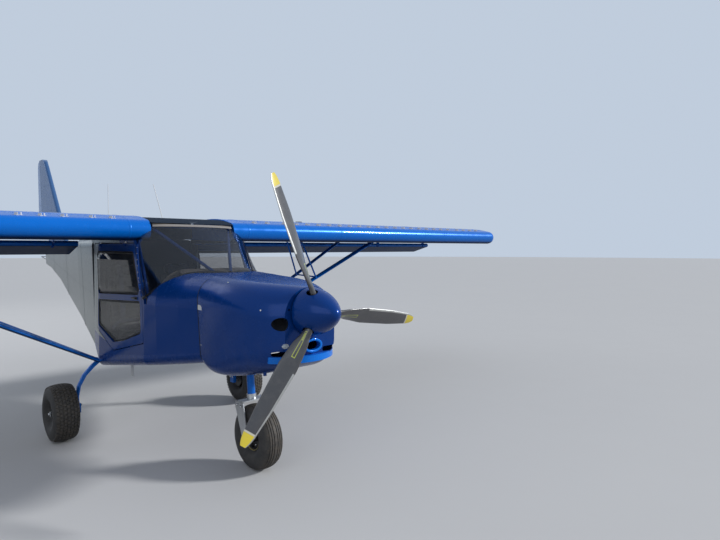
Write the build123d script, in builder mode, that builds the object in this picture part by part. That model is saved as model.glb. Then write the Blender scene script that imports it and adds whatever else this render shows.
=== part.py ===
from build123d import *
import os
from math import cos, sin, radians, hypot, atan2, degrees

os.makedirs("parts", exist_ok=True)

# Two-seat high-wing ultralight aircraft, millimetres.
# Nose towards -Y, left side of the aircraft +X, up +Z, ground at Z 0.
# Lengths named "..._a" are measured aft of the main wheel axle.
axle_y = -877.0


def at(a):
    return axle_y + a


def cross_plane(a):
    return Plane(origin=(0, at(a), 0), x_dir=(1, 0, 0), z_dir=(0, -1, 0))


# Overall sizes
half_span = 4486.0
root_x = 360.0
wheelbase = 1560.0
track = 1687.0
tyre_r = 227.0
main_tyre_w = 190.0
nose_tyre_w = 150.0
rim_r = 92.0
wall = 18.0
skin = 6.0
door_gap = 6.0
glass_t = 4.0

# Fuselage sections: a, half width top, half width bottom, bottom z, top z, top r, bottom r
firewall_a = -1405.0
firewall_t = 6.0
post_a = -810.0
cabin_rear_a = 350.0
tail_end_a = 3600.0
deck_sections = [
    (firewall_a, 378.0, 348.0, 763.0, 1355.0, 165.0, 70.0),
    (-1230.0, 425.0, 400.0, 737.0, 1363.0, 195.0, 66.0),
    (-980.0, 478.0, 466.0, 700.0, 1368.0, 225.0, 62.0),
    (post_a - 10, 480.0, 502.0, 677.0, 1369.0, 230.0, 60.0),
]
cabin_top_z = 1680.0
cabin_side_top = 470.0
cabin_side_low = 502.0
gear_a = 150.0
keel_z = 524.0
sill_z = 624.0
beyond_x = 620.0
cone_len = tail_end_a - cabin_rear_a
tail_table = [
    # share of the cone's length, then the columns of the sections above
    (0.0, 478.0, 462.0, 645.0, 1625.0, 60.0, 40.0),
    (0.1846, 432.0, 398.0, 850.0, 1617.0, 55.0, 36.0),
    (0.3662, 352.0, 326.0, 990.0, 1608.0, 50.0, 32.0),
    (0.5754, 262.0, 246.0, 1165.0, 1595.0, 45.0, 28.0),
    (0.8462, 142.0, 132.0, 1290.0, 1575.0, 36.0, 24.0),
    (1.0, 68.0, 62.0, 1318.0, 1560.0, 24.0, 18.0),
]
tail_sections = [(cabin_rear_a + row[0] * cone_len, *row[1:]) for row in tail_table]
turtle_t = 5.0
turtle_sections = [
    (114.0, 352.0, 357.0, 1640.0, 1800.0, 50.0, 1.0),
    (560.0, 340.0, 350.0, 1600.0, 1768.0, 70.0, 1.0),
    (1900.0, 170.0, 210.0, 1560.0, 1606.0, 20.0, 1.0),
]

# Cowl sections, same columns
thrust_z = 1157.0
cowl_split_z = 1141.0
cowl_t = 5.0
cowl_sections = [
    (-1414.0, 378.0, 346.0, 752.0, 1356.0, 165.0, 80.0),
    (-1700.0, 374.0, 340.0, 716.0, 1340.0, 175.0, 120.0),
    (-1960.0, 318.0, 292.0, 768.0, 1322.0, 190.0, 150.0),
    (-2090.0, 250.0, 240.0, 815.0, 1312.0, 200.0, 130.0),
    (-2158.0, 196.0, 190.0, 860.0, 1306.0, 180.0, 110.0),
]
cheek_x = 205.0
cheek_z = 1092.0
cheek_r = 40.0
chin_z = 948.0
chin_w = 104.0
chin_h = 56.0
chin_rim = 20.0
slot_x = 168.0
slot_z = 912.0
slot_w = 150.0
slot_h = 32.0

# Spinner and propeller
prop_a = -2238.0
prop_r = 871.0
spinner_r = 150.0
gearbox_front_a = -2152.0
shaft_r = 24.0
shaft_gap = 0.3
spinner_base_a = -2168.0
spinner_tip_a = -2416.0
blade_angles = [112.2, -7.8, -127.8]
blade_table = [
    # radius, chord, thickness, pitch degrees
    (85.0, 52.0, 46.0, 62.0),
    (150.0, 56.0, 32.0, 54.0),
    (240.0, 96.0, 22.0, 43.0),
    (380.0, 118.0, 16.0, 32.0),
    (620.0, 104.0, 11.0, 22.0),
    (prop_r, 62.0, 6.0, 17.0),
]
shank_r = 24.0

# Wing section
wing_low_z = 1603.0
wing_nose = (-655.0, 1688.0)
wing_top_front = (-577.0, 1766.0)
wing_crest = (-250.0, 1808.0)
wing_te_a = 500.0
wing_te_low = 1634.0
wing_te_top = 1648.0
wing_low_front = -560.0
tip_len = 156.0
tip_x = half_span - tip_len
wing_skin = 7.0

# Flaperons
flap_hinge_a = 470.0
flap_hinge_z = 1583.0
flap_r = 26.0
flap_te_a = 722.0
flap_te_z = 1486.0
flap_te_t = 5.0
flap_skin = 4.6
flap_in_x = 560.0
flap_out_x = tip_x - 30.0
flap_pin_r = 5.0
bracket_shares = [0.0535, 0.3583, 0.6684, 0.9679]
flap_brackets = [flap_in_x + share * (flap_out_x - flap_in_x) for share in bracket_shares]

# Struts: x, a, z of their ends, those at the top sunk into the wing
strut_chord = 84.0
strut_t = 34.0
rear_strut_chord = 67.2
rear_strut_t = 30.0
strut_foot = (528.0, 110.0, 590.0)
rear_strut_foot = (528.0, 198.0, 590.0)
strut_top = (2520.0, -208.0, 1640.0)
rear_strut_top = (2490.0, 350.0, 1657.0)
jury_rods = [
    # start, end, radius
    ((1700.0, -113.0, 1206.0), (1520.0, -60.0, 1650.0), 9.0),
    ((1700.0, 248.0, 1226.0), (1520.0, 200.0, 1650.0), 9.0),
    ((1692.0, -108.0, 1226.0), (1692.0, 244.0, 1240.0), 8.0),
]
tie_down = (2560.0, -212.0, 1578.0)
tie_down_r = 9.0
tie_down_t = 6.0

# Tail: lengths in the outlines are measured aft of the cone's end
fin_t = 56.0
fin_edge = 38.0
fin_outline = [(-810.0, 1566.0), (66.0, 2661.0), (140.0, 2745.0), (220.0, 2778.0),
               (386.0, 2778.0), (278.0, 1700.0), (-12.0, 1700.0), (-12.0, 1566.0)]
rudder_low = (288.0, 1700.0)
rudder_high = (396.0, 2778.0)
rudder_lugs = [180.0, 820.0]
rudder_outline = [(298.0, 1706.0), (510.0, 1706.0), (566.0, 1830.0), (570.0, 2090.0),
                  (570.0, 2700.0), (525.0, 2762.0), (406.0, 2778.0)]
rudder_t = 42.0
tail_skin = 4.0
drain_r = 6.0
hinge_pin_r = 4.0
lug_r = 11.0
pin_gap = 0.05
stab_le_a = tail_end_a - 470.0
stab_chord = 460.0
stab_nose = 40.0
stab_z = 1598.0
stab_t = 66.0
stab_te_t = 44.0
stab_half = 1270.0
stab_te_a = stab_le_a + stab_chord
elevator_hinge_a = stab_te_a + 28.0
elevator_r = 20.0
elevator_chord = 317.0
elevator_te_a = elevator_hinge_a + elevator_chord
elevator_lugs = [-1000.0, -420.0, 420.0, 1000.0]
elevator_root_x = 200.0
drain_x = 600.0
skid_tip = (500.0, 1420.0)
skid_r = 5.0

# Windshield, local outline of each section: half width, side depth, arc half width, arc depth
ws_base_point = (-810.0, 1165.0)
ws_base_dir = (-425.0, 205.0)
ws_mid = (-606.0, 1600.0)
ws_top = (-600.0, 1738.0)
base_curve_a = -1205.0
base_side_a = -905.0
base_side_x = 460.0

# Doors
door_outline = [(-809.0, 846.0), (-784.0, 1090.0), (-729.0, 1290.0), (-600.0, 1580.0),
                (290.0, 1580.0), (240.0, 1190.0), (232.0, 862.0), (-195.0, 712.0)]
upper_pane = [(-734.0, 1192.0), (-690.0, 1290.0), (-590.0, 1520.0), (232.0, 1520.0), (194.0, 1152.0)]
lower_pane = [(-760.0, 910.0), (-740.0, 1085.0), (-735.0, 1150.0), (192.0, 1104.0), (186.0, 880.0),
              (-190.0, 775.0), (-420.0, 815.0)]
door_hinge_z = 1588.0
pane_bulge = 36.0

# Gear
axle_r = 14.0
axle_in_x = 734.0
axle_out_x = 916.0
axle_nut_r = 22.0
leg_path = [
    # x, a, z, chord, thickness
    (478.0, 152.0, 592.0, 74.0, 36.0),
    (560.0, 130.0, 538.0, 72.0, 34.0),
    (636.0, 100.0, 474.0, 68.0, 32.0),
    (690.0, 64.0, 396.0, 62.0, 30.0),
    (714.0, 28.0, 318.0, 56.0, 28.0),
    (718.0, 0.0, 250.0, 52.0, 28.0),
]
foot_block = (32.0, 60.0, 74.0)
caliper_blocks = [
    # a, z, length, height
    (54.0, 262.0, 40.0, 46.0),
    (28.0, 236.0, 40.0, 30.0),
]
caliper_t = 14.0
brake_line_r = 3.0
brake_clearance = 0.2
disc_r = 70.0
disc_t = 4.0
nose_leg_top = (-1446.0, 860.0)
nose_leg_foot = (-1484.0, 480.0)
nose_leg_r = 27.0
nose_axle_r = 11.0
tow_pin_r = 10.0
tow_neck = 1.5
tow_pin_len = 12.5
fork_half = 104.0
fork_t = 7.0


def section_outline(sketch, row, inset=0.0):
    _, wt, wb, zb, zt, rt, rb = row
    with BuildLine() as outline:
        Polyline((-wb + inset, zb + inset), (wb - inset, zb + inset), (wt - inset, zt - inset),
                 (-wt + inset, zt - inset), close=True)
    make_face(outline.edges())
    fillet(sketch.vertices().group_by(Axis.Y)[-1], rt - inset)
    fillet(sketch.vertices().group_by(Axis.Y)[0], rb - inset)


def rod(start, end, radius):
    way = Vector(*end) - Vector(*start)
    with BuildSketch(Plane(origin=start, z_dir=way)) as disc:
        Circle(radius)
    extrude(disc.sketch, amount=way.length)


def across_of(way):
    return (Vector(0, 1, 0) - way * (way.Y / way.length ** 2)).normalized()


def blade_section(place, way, chord, thick):
    across = across_of(way)
    round_r = thick * 0.22
    flat = chord / 2 - round_r
    with BuildSketch(Plane(origin=place, x_dir=across, z_dir=way)) as oval:
        with BuildLine() as outline:
            ThreePointArc((-flat, round_r), (0, thick / 2), (flat, round_r))
            ThreePointArc((flat, round_r), (chord / 2, 0), (flat, -round_r))
            ThreePointArc((flat, -round_r), (0, -thick / 2), (-flat, -round_r))
            ThreePointArc((-flat, -round_r), (-chord / 2, 0), (-flat, round_r))
        make_face(outline.edges())
    return oval.sketch


def blade_bar(start, end, chord, thick):
    way = Vector(*end) - Vector(*start)
    extrude(blade_section(start, way, chord, thick), amount=way.length)


def deliver(builder, label):
    builder.part.label = label
    export_step(builder.part, "parts/" + label + ".step")


# Helper solids: fuselage hull outside and inside
cabin_rows = [
    (post_a - 10, cabin_side_top, cabin_side_low, 677.0, cabin_top_z, 4.0, 60.0),
    (gear_a, cabin_side_top, cabin_side_low, keel_z, cabin_top_z, 4.0, 60.0),
    (cabin_rear_a - firewall_t, cabin_side_top - 2, cabin_side_low - 34, 643.0, cabin_top_z, 4.0, 45.0),
]
front_rows = deck_sections

with BuildPart() as front_outer:
    for row in front_rows:
        with BuildSketch(cross_plane(row[0])) as sk:
            section_outline(sk, row)
    loft(ruled=True)

with BuildPart() as front_inner:
    for row in front_rows:
        with BuildSketch(cross_plane(row[0])) as sk:
            section_outline(sk, row, wall)
    loft(ruled=True)

with BuildPart() as cabin_outer:
    for row in cabin_rows:
        with BuildSketch(cross_plane(row[0])) as sk:
            section_outline(sk, row)
    loft(ruled=True)

with BuildPart() as cabin_inner:
    for row in cabin_rows:
        _, wt, wb, zb, zt, rt, rb = row
        lean = (wb - wt) / (zt - zb)
        with BuildSketch(cross_plane(row[0])) as sk:
            with BuildLine():
                Polyline((-wb + wall, zb + wall), (wb - wall, zb + wall),
                         (wt - wall - 60 * lean, zt + 60), (-wt + wall + 60 * lean, zt + 60), close=True)
            make_face()
            fillet(sk.vertices().group_by(Axis.Y)[0], rb - wall)
    loft(ruled=True)

with BuildPart() as wing_solid:
    with BuildSketch(Plane.YZ.offset(root_x)):
        with BuildLine():
            nose = ThreePointArc((at(wing_low_front), wing_low_z), (at(wing_nose[0]), wing_nose[1]),
                                 (at(wing_top_front[0]), wing_top_front[1]))
            front_arc = ThreePointArc((at(wing_top_front[0]), wing_top_front[1]),
                                      (at(-420), 1796.8), (at(wing_crest[0]), wing_crest[1]))
            ThreePointArc(front_arc @ 1, (at(140), 1767.0), (at(wing_te_a), wing_te_top))
            Line((at(wing_te_a), wing_te_top), (at(wing_te_a), wing_te_low))
            Line((at(wing_te_a), wing_te_low), (at(wing_low_front), wing_low_z))
        make_face()
    extrude(amount=tip_x - root_x)
    mirror(about=Plane.YZ)

# Fuselage panels
floor_line = [(-1500.0, 852.0), (-820.0, 760.0), (gear_a, sill_z), (360.0, 742.0)]

with BuildPart() as floor_zone:
    with BuildSketch(Plane.YZ):
        with BuildLine():
            Polyline([(at(a), z) for a, z in floor_line] + [(at(360), 400), (at(-1500), 400)], close=True)
        make_face()
    extrude(amount=700, both=True)

with BuildPart() as front_shell:
    add(front_outer.part)
    add(front_inner.part, mode=Mode.SUBTRACT)

with BuildPart() as cabin_shell:
    add(cabin_outer.part)
    add(cabin_inner.part, mode=Mode.SUBTRACT)
    add(wing_solid.part, mode=Mode.SUBTRACT)

with BuildPart() as floor_pan:
    add(front_shell.part)
    add(cabin_shell.part)
    add(floor_zone.part, mode=Mode.INTERSECT)
deliver(floor_pan, "floor_pan")

deck_low_z = 1135.0
with BuildPart() as deck_zone:
    with BuildSketch(Plane.XY.offset(deck_low_z)):
        with BuildLine():
            Line((-beyond_x, at(firewall_a)), (beyond_x, at(firewall_a)))
            Polyline((beyond_x, at(firewall_a)), (beyond_x, at(-790)), (505, at(-815)),
                     (base_side_x, at(base_side_a)))
            ThreePointArc((base_side_x, at(base_side_a)), (0, at(base_curve_a)),
                          (-base_side_x, at(base_side_a)))
            Polyline((-base_side_x, at(base_side_a)), (-505, at(-815)), (-beyond_x, at(-790)),
                     (-beyond_x, at(firewall_a)))
        make_face()
    extrude(amount=400)

with BuildPart() as top_deck:
    add(front_shell.part)
    add(deck_zone.part, mode=Mode.INTERSECT)
deliver(top_deck, "top_deck")

with BuildPart() as side_zone:
    with BuildSketch(Plane.YZ):
        with BuildLine():
            Polyline((at(firewall_a), deck_low_z), (at(-812), deck_low_z), (at(-808), 1165), (at(-604), 1605),
                     (at(-604), 1750), (at(360), 1750), (at(360), 742), (at(gear_a), sill_z), (at(-820), 760),
                     (at(-1500), 852), (at(-1500), deck_low_z), close=True)
        make_face()
    extrude(amount=700)

with BuildPart() as door_hole:
    with BuildSketch(Plane.YZ.offset(420)):
        with BuildLine():
            Polyline([(at(a), z) for a, z in door_outline], close=True)
        make_face()
        offset(amount=door_gap, kind=Kind.INTERSECTION)
    extrude(amount=200)

with BuildPart() as side_left:
    add(front_shell.part)
    add(cabin_shell.part)
    add(side_zone.part, mode=Mode.INTERSECT)
    add(door_hole.part, mode=Mode.SUBTRACT)

with BuildPart() as side_right:
    add(side_left.part.mirror(Plane.YZ))

with BuildPart() as side_panels:
    add(side_left.part)
    add(side_right.part)
deliver(side_panels, "side_panels")

with BuildPart() as firewall:
    with BuildSketch(cross_plane(firewall_a)) as sk:
        section_outline(sk, front_rows[0])
    extrude(amount=firewall_t)

with BuildPart() as rear_bulkhead:
    with BuildSketch(cross_plane(cabin_rear_a)) as sk:
        section_outline(sk, tail_sections[0])
    extrude(amount=firewall_t)

with BuildPart() as bulkheads:
    add(firewall.part)
    add(rear_bulkhead.part)
deliver(bulkheads, "bulkheads")

with BuildPart() as tail_outer:
    for row in tail_sections:
        with BuildSketch(cross_plane(row[0])) as sk:
            section_outline(sk, row)
    loft(ruled=True)

with BuildPart() as tail_inner:
    for row in tail_sections[:-1]:
        with BuildSketch(cross_plane(row[0])) as sk:
            section_outline(sk, row, skin)
    loft(ruled=True)

with BuildPart() as tail_cone:
    add(tail_outer.part)
    add(tail_inner.part, mode=Mode.SUBTRACT)
deliver(tail_cone, "tail_cone")

with BuildPart() as turtle_inner:
    for a, wt, wb, zb, zt, rt, rb in turtle_sections:
        with BuildSketch(cross_plane(a)) as sk:
            section_outline(sk, (a, wt - turtle_t, wb - turtle_t, zb - 60, zt - turtle_t,
                                 rt - turtle_t + 1, rb))
    loft(ruled=True)

with BuildPart() as turtle_deck:
    for row in turtle_sections:
        with BuildSketch(cross_plane(row[0])) as sk:
            section_outline(sk, row)
    loft(ruled=True)
    add(turtle_inner.part, mode=Mode.SUBTRACT)
    add(tail_outer.part, mode=Mode.SUBTRACT)
    add(rear_bulkhead.part, mode=Mode.SUBTRACT)
deliver(turtle_deck, "turtle_deck")

with BuildPart() as skylight:
    with BuildSketch(Plane.YZ):
        with BuildLine():
            ThreePointArc((at(-655), 1740), (at(-430), 1788), (at(-250), 1797))
            Line((at(-250), 1797), (at(110), 1799))
            Line((at(110), 1799), (at(110), 1799 - glass_t))
            Line((at(110), 1799 - glass_t), (at(-250), 1797 - glass_t))
            ThreePointArc((at(-250), 1797 - glass_t), (at(-430), 1788 - glass_t), (at(-651), 1740))
            Line((at(-651), 1740), (at(-655), 1740))
        make_face()
    extrude(amount=root_x - 3, both=True)
deliver(skylight, "skylight")

# Windshield
base_len = hypot(*ws_base_dir)
ws_planes = [
    Plane(origin=(0, at(ws_base_point[0]), ws_base_point[1]), x_dir=(1, 0, 0),
          z_dir=(0, -ws_base_dir[1] / base_len, ws_base_dir[0] / base_len)),
    Plane(origin=(0, at(ws_mid[0]), ws_mid[1]), x_dir=(1, 0, 0), z_dir=(0, 0, -1)),
    Plane(origin=(0, at(ws_top[0]), ws_top[1]), x_dir=(1, 0, 0), z_dir=(0, 0, -1)),
]
# half width at the side, side point depth, its half width, middle depth
ws_shapes = [(501.0, 104.0, 470.0, 452.0), (473.0, 52.0, 455.0, 256.0), (356.0, 20.0, 352.0, 58.0)]


def ws_outline(shape, inset, back):
    side, depth, shoulder, middle = shape
    with BuildLine() as outline:
        Polyline((side - inset, -back), (side - inset, 0), (shoulder - inset, depth - inset / 2))
        ThreePointArc((shoulder - inset, depth - inset / 2), (0, middle - inset),
                      (-shoulder + inset, depth - inset / 2))
        Polyline((-shoulder + inset, depth - inset / 2), (-side + inset, 0), (-side + inset, -back),
                 (side - inset, -back))
    make_face(outline.edges())


with BuildPart() as screen_inner:
    for plane, shape in zip(ws_planes, ws_shapes):
        with BuildSketch(plane):
            ws_outline(shape, glass_t, 30.0)
    loft(ruled=True)

with BuildPart() as windshield:
    for plane, shape in zip(ws_planes, ws_shapes):
        with BuildSketch(plane):
            ws_outline(shape, 0.0, 1.0)
    loft(ruled=True)
    add(screen_inner.part, mode=Mode.SUBTRACT)
    add(wing_solid.part, mode=Mode.SUBTRACT)
    add(top_deck.part, mode=Mode.SUBTRACT)
    add(side_left.part, mode=Mode.SUBTRACT)
    add(side_right.part, mode=Mode.SUBTRACT)
deliver(windshield, "windshield")

panel_outline = [(-940.0, 1120.0), (-940.0, 1384.0), (-962.0, 1400.0), (-1168.0, 1342.0),
                 (-1168.0, 1330.0), (-968.0, 1382.0), (-958.0, 1372.0), (-958.0, 1120.0)]
panel_half = 438.0
panel_inset = 30.0
screen_zone = (1200.0, 600.0, 500.0)
screen_zone_start = 100.0

with BuildPart() as panel_limit:
    for a, wt, wb, zb, zt, rt, rb in front_rows:
        with BuildSketch(cross_plane(a)) as sk:
            section_outline(sk, (a, wt, wb, zb, zt + 50, rt + panel_inset, rb), panel_inset)
    loft(ruled=True)

with BuildPart() as screen_outside:
    wide, deep, high = screen_zone
    with BuildSketch(ws_planes[0]):
        with Locations((0, screen_zone_start + deep / 2)):
            Rectangle(wide, deep)
    extrude(amount=-high)
    add(screen_inner.part, mode=Mode.SUBTRACT)

with BuildPart() as panel:
    with BuildSketch(Plane.YZ):
        with BuildLine():
            Polyline([(at(a), z) for a, z in panel_outline], close=True)
        make_face()
    extrude(amount=panel_half, both=True)
    add(panel_limit.part, mode=Mode.INTERSECT)
    add(screen_outside.part, mode=Mode.SUBTRACT)
    add(windshield.part, mode=Mode.SUBTRACT)
    add(top_deck.part, mode=Mode.SUBTRACT)
deliver(panel, "instrument_panel")

frame_tube_r = 12.0
frame_bow = (348.0, -600.0, 1714.0)
frame_tubes = [
    # x, a, z of each end
    ((330.0, -592.0, 1704.0), (67.0, -1095.0, 1362.0)),
    ((336.0, -598.0, 1710.0), (436.0, -598.0, 1586.0)),
    ((436.0, -598.0, 1586.0), (448.0, -800.0, 1176.0)),
]


def mirrored_x(point, side):
    return (side * point[0], at(point[1]), point[2])


with BuildPart() as cabin_frame:
    rod(mirrored_x(frame_bow, -1), mirrored_x(frame_bow, 1), frame_tube_r + 1)
    for side in (-1, 1):
        for start, end in frame_tubes:
            rod(mirrored_x(start, side), mirrored_x(end, side), frame_tube_r)
    add(wing_solid.part, mode=Mode.SUBTRACT)
    add(windshield.part, mode=Mode.SUBTRACT)
    add(top_deck.part, mode=Mode.SUBTRACT)
    add(side_left.part, mode=Mode.SUBTRACT)
    add(side_right.part, mode=Mode.SUBTRACT)
    add(panel.part, mode=Mode.SUBTRACT)
deliver(cabin_frame, "cabin_frame")

# Cowl and engine
with BuildPart() as cowl_body:
    for row in cowl_sections:
        with BuildSketch(cross_plane(row[0])) as sk:
            section_outline(sk, row)
    loft()

with BuildPart() as cowl_inner:
    for row in cowl_sections[:-1]:
        with BuildSketch(cross_plane(row[0])) as sk:
            section_outline(sk, row, cowl_t)
    with BuildSketch(cross_plane(cowl_sections[-1][0] + cowl_t)) as sk:
        section_outline(sk, cowl_sections[-1], cowl_t)
    loft()

intake_back_a = -2020.0
shaft_hole_r = 88.0
outlet_a = -1450.0
with BuildPart() as cowl:
    add(cowl_body.part)
    add(cowl_inner.part, mode=Mode.SUBTRACT)
    with BuildSketch(cross_plane(intake_back_a)):
        with Locations((-cheek_x, cheek_z), (cheek_x, cheek_z)):
            Circle(cheek_r)
        with Locations((0, chin_z)):
            Ellipse(chin_w / 2, chin_h / 2)
        with Locations((-slot_x, slot_z), (slot_x, slot_z)):
            SlotOverall(slot_w, slot_h)
        with Locations((0, thrust_z)):
            Circle(shaft_hole_r)
    extrude(amount=180, mode=Mode.SUBTRACT)
    with BuildSketch(Plane.XY.offset(690)):
        with Locations((0, at(outlet_a))):
            Rectangle(150, 130)
    extrude(amount=90, mode=Mode.SUBTRACT)

split_box = 1000.0
with BuildPart() as cowl_upper:
    add(cowl.part)
    with Locations((0, at(-1800), cowl_split_z - split_box / 2)):
        Box(split_box, split_box, split_box, mode=Mode.SUBTRACT)
deliver(cowl_upper, "cowl_upper")

with BuildPart() as cowl_lower:
    add(cowl.part)
    with Locations((0, at(-1800), cowl_split_z + split_box / 2)):
        Box(split_box, split_box, split_box, mode=Mode.SUBTRACT)
deliver(cowl_lower, "cowl_lower")

engine_size = (540.0, 480.0, 250.0)
engine_a = -1740.0
engine_z = 1120.0
gearbox_back_a = -1970.0
gearbox_r = 72.0
mount_x = 150.0
mount_block = (60.0, 88.0, 160.0)
with BuildPart() as engine:
    with Locations((0, at(engine_a), engine_z)):
        Box(*engine_size)
    fillet(engine.edges(), 18)
    with BuildSketch(cross_plane(gearbox_back_a)):
        with Locations((0, thrust_z)):
            Circle(gearbox_r)
    extrude(amount=gearbox_back_a - gearbox_front_a)
    with Locations((-mount_x, at(firewall_a - 50), engine_z), (mount_x, at(firewall_a - 50), engine_z)):
        Box(*mount_block)
deliver(engine, "engine")

# Propeller
spinner_t = 4.0
spinner_flat_r = 3.0
with BuildPart() as spinner:
    with BuildSketch(Plane.YZ):
        with BuildLine():
            outer_rim = (at(spinner_base_a), thrust_z + spinner_r)
            outer_cheek = (at(spinner_tip_a + 20), thrust_z + 42)
            outer_tip = (at(spinner_tip_a), thrust_z + spinner_flat_r)
            inner_rim = (at(spinner_base_a), thrust_z + spinner_r - spinner_t)
            inner_cheek = (at(spinner_tip_a + 23), thrust_z + 39.5)
            inner_tip = (at(spinner_tip_a) + spinner_t, thrust_z + spinner_flat_r)
            Line(inner_rim, outer_rim)
            ThreePointArc(outer_rim, (at(spinner_tip_a + 116), thrust_z + 112), outer_cheek)
            ThreePointArc(outer_cheek, (at(spinner_tip_a + 5), thrust_z + 20), outer_tip)
            Polyline(outer_tip, (at(spinner_tip_a), thrust_z),
                     (at(spinner_tip_a) + spinner_t, thrust_z), inner_tip)
            ThreePointArc(inner_tip, (at(spinner_tip_a + 9), thrust_z + 18.4), inner_cheek)
            ThreePointArc(inner_cheek, (at(spinner_tip_a + 117.5), thrust_z + 108.4), inner_rim)
        make_face()
    revolve(axis=Axis((0, at(prop_a), thrust_z), (0, 1, 0)))
    for angle in blade_angles:
        way = Vector(cos(radians(angle)), 0, sin(radians(angle)))
        with BuildSketch(Plane(origin=Vector(0, at(prop_a), thrust_z) + way * 60, z_dir=way)):
            Circle(shank_r + 11)
        extrude(amount=110, mode=Mode.SUBTRACT)
deliver(spinner, "spinner")

hub_r = 58.0
hub_front_a = -2280.0
hub_len = 80.0
backplate_t = 4.0
flange_r = 46.0
backplate_a = spinner_base_a - 10
with BuildPart() as hub:
    with BuildSketch(cross_plane(hub_front_a + hub_len)):
        with Locations((0, thrust_z)):
            Circle(hub_r)
    extrude(amount=hub_len)
    with BuildSketch(cross_plane(backplate_a + backplate_t)):
        with Locations((0, thrust_z)):
            Circle(spinner_r - spinner_t - 2.5)
    extrude(amount=backplate_t)
    with BuildSketch(cross_plane(backplate_a + 6)):
        with Locations((0, thrust_z)):
            Circle(flange_r)
    extrude(amount=34)
    with BuildSketch(cross_plane(gearbox_front_a - shaft_gap)):
        with Locations((0, thrust_z)):
            Circle(shaft_r)
    extrude(amount=36)
deliver(hub, "propeller_hub")

with BuildPart() as blades:
    for angle in blade_angles:
        way = Vector(cos(radians(angle)), 0, sin(radians(angle)))
        side = Vector(0, 1, 0).cross(way)
        for radius, chord, thick, pitch in blade_table:
            turn = radians(pitch)
            chord_way = side * cos(turn) + Vector(0, 1, 0) * sin(turn)
            with BuildSketch(Plane(origin=Vector(0, at(prop_a), thrust_z) + way * radius,
                                   x_dir=chord_way, z_dir=way)):
                with BuildLine():
                    ThreePointArc((-chord / 2, 0), (0, thick / 2), (chord / 2, 0))
                    ThreePointArc((chord / 2, 0), (0, -thick / 2), (-chord / 2, 0))
                make_face()
        loft(ruled=True)
        with BuildSketch(Plane(origin=Vector(0, at(prop_a), thrust_z) + way * 55, z_dir=way)):
            Circle(shank_r - 6)
        extrude(amount=45)
    add(hub.part, mode=Mode.SUBTRACT)
deliver(blades, "propeller_blades")

# Wings
def wing_face(inset):
    n = inset
    with BuildLine() as outline:
        ThreePointArc((at(wing_low_front), wing_low_z + n), (at(wing_nose[0] + n), wing_nose[1]),
                      (at(wing_top_front[0]), wing_top_front[1] - n))
        ThreePointArc((at(wing_top_front[0]), wing_top_front[1] - n), (at(-420), 1796.8 - n),
                      (at(wing_crest[0]), wing_crest[1] - n))
        ThreePointArc((at(wing_crest[0]), wing_crest[1] - n), (at(140), 1767.0 - n),
                      (at(wing_te_a - 6 * n), wing_te_top - n / 2 + 3 * n / 2))
        Line((at(wing_te_a - 6 * n), wing_te_top + n), (at(wing_te_a - 6 * n), wing_te_low + n / 2))
        Line((at(wing_te_a - 6 * n), wing_te_low + n / 2), (at(wing_low_front), wing_low_z + n))
    make_face(outline.edges())


with BuildPart() as wing_left:
    with BuildSketch(Plane.YZ.offset(root_x)):
        wing_face(0)
    extrude(amount=tip_x - root_x)
    with BuildSketch(Plane.YZ.offset(root_x + wing_skin)):
        wing_face(wing_skin)
    extrude(amount=tip_x - root_x, mode=Mode.SUBTRACT)

with BuildPart() as wings:
    add(wing_left.part)
    mirror(about=Plane.YZ)
deliver(wings, "wings")

with BuildPart() as wing_tips:
    with BuildSketch(Plane.YZ.offset(tip_x)):
        wing_face(0)
    with BuildSketch(Plane.YZ.offset(tip_x + 100)):
        with BuildLine():
            low, nose, top = (at(-520), 1626), (at(-598), 1694), (at(-530), 1752)
            ThreePointArc(low, nose, top)
            ThreePointArc(top, (at(-400), 1778), (at(-240), 1786))
            ThreePointArc((at(-240), 1786), (at(130), 1753), (at(478), wing_te_top))
            Line((at(478), wing_te_top), (at(478), wing_te_low + 4))
            Line((at(478), wing_te_low + 4), low)
        make_face()
    with BuildSketch(Plane.YZ.offset(half_span)):
        with BuildLine():
            low, nose, top = (at(-400), 1672), (at(-445), 1697), (at(-400), 1722)
            ThreePointArc(low, nose, top)
            ThreePointArc(top, (at(-320), 1733), (at(-200), 1736))
            ThreePointArc((at(-200), 1736), (at(130), 1715), (at(430), 1652))
            Line((at(430), 1652), (at(430), 1643))
            Line((at(430), 1643), low)
        make_face()
    loft()
    mirror(about=Plane.YZ)
deliver(wing_tips, "wing_tips")

# Flaperons with hinge slots and pins
flap_hollow = (flap_hinge_a + 40, flap_te_a - 50)


def flap_surface(a, hinge_end, te_end):
    share = (a - flap_hinge_a) / (flap_te_a - flap_hinge_a)
    return hinge_end + share * (te_end - hinge_end)


def flap_top(a):
    return flap_surface(a, flap_hinge_z + flap_r, flap_te_z + flap_te_t)


def flap_low(a):
    return flap_surface(a, flap_hinge_z - flap_r, flap_te_z)


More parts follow.
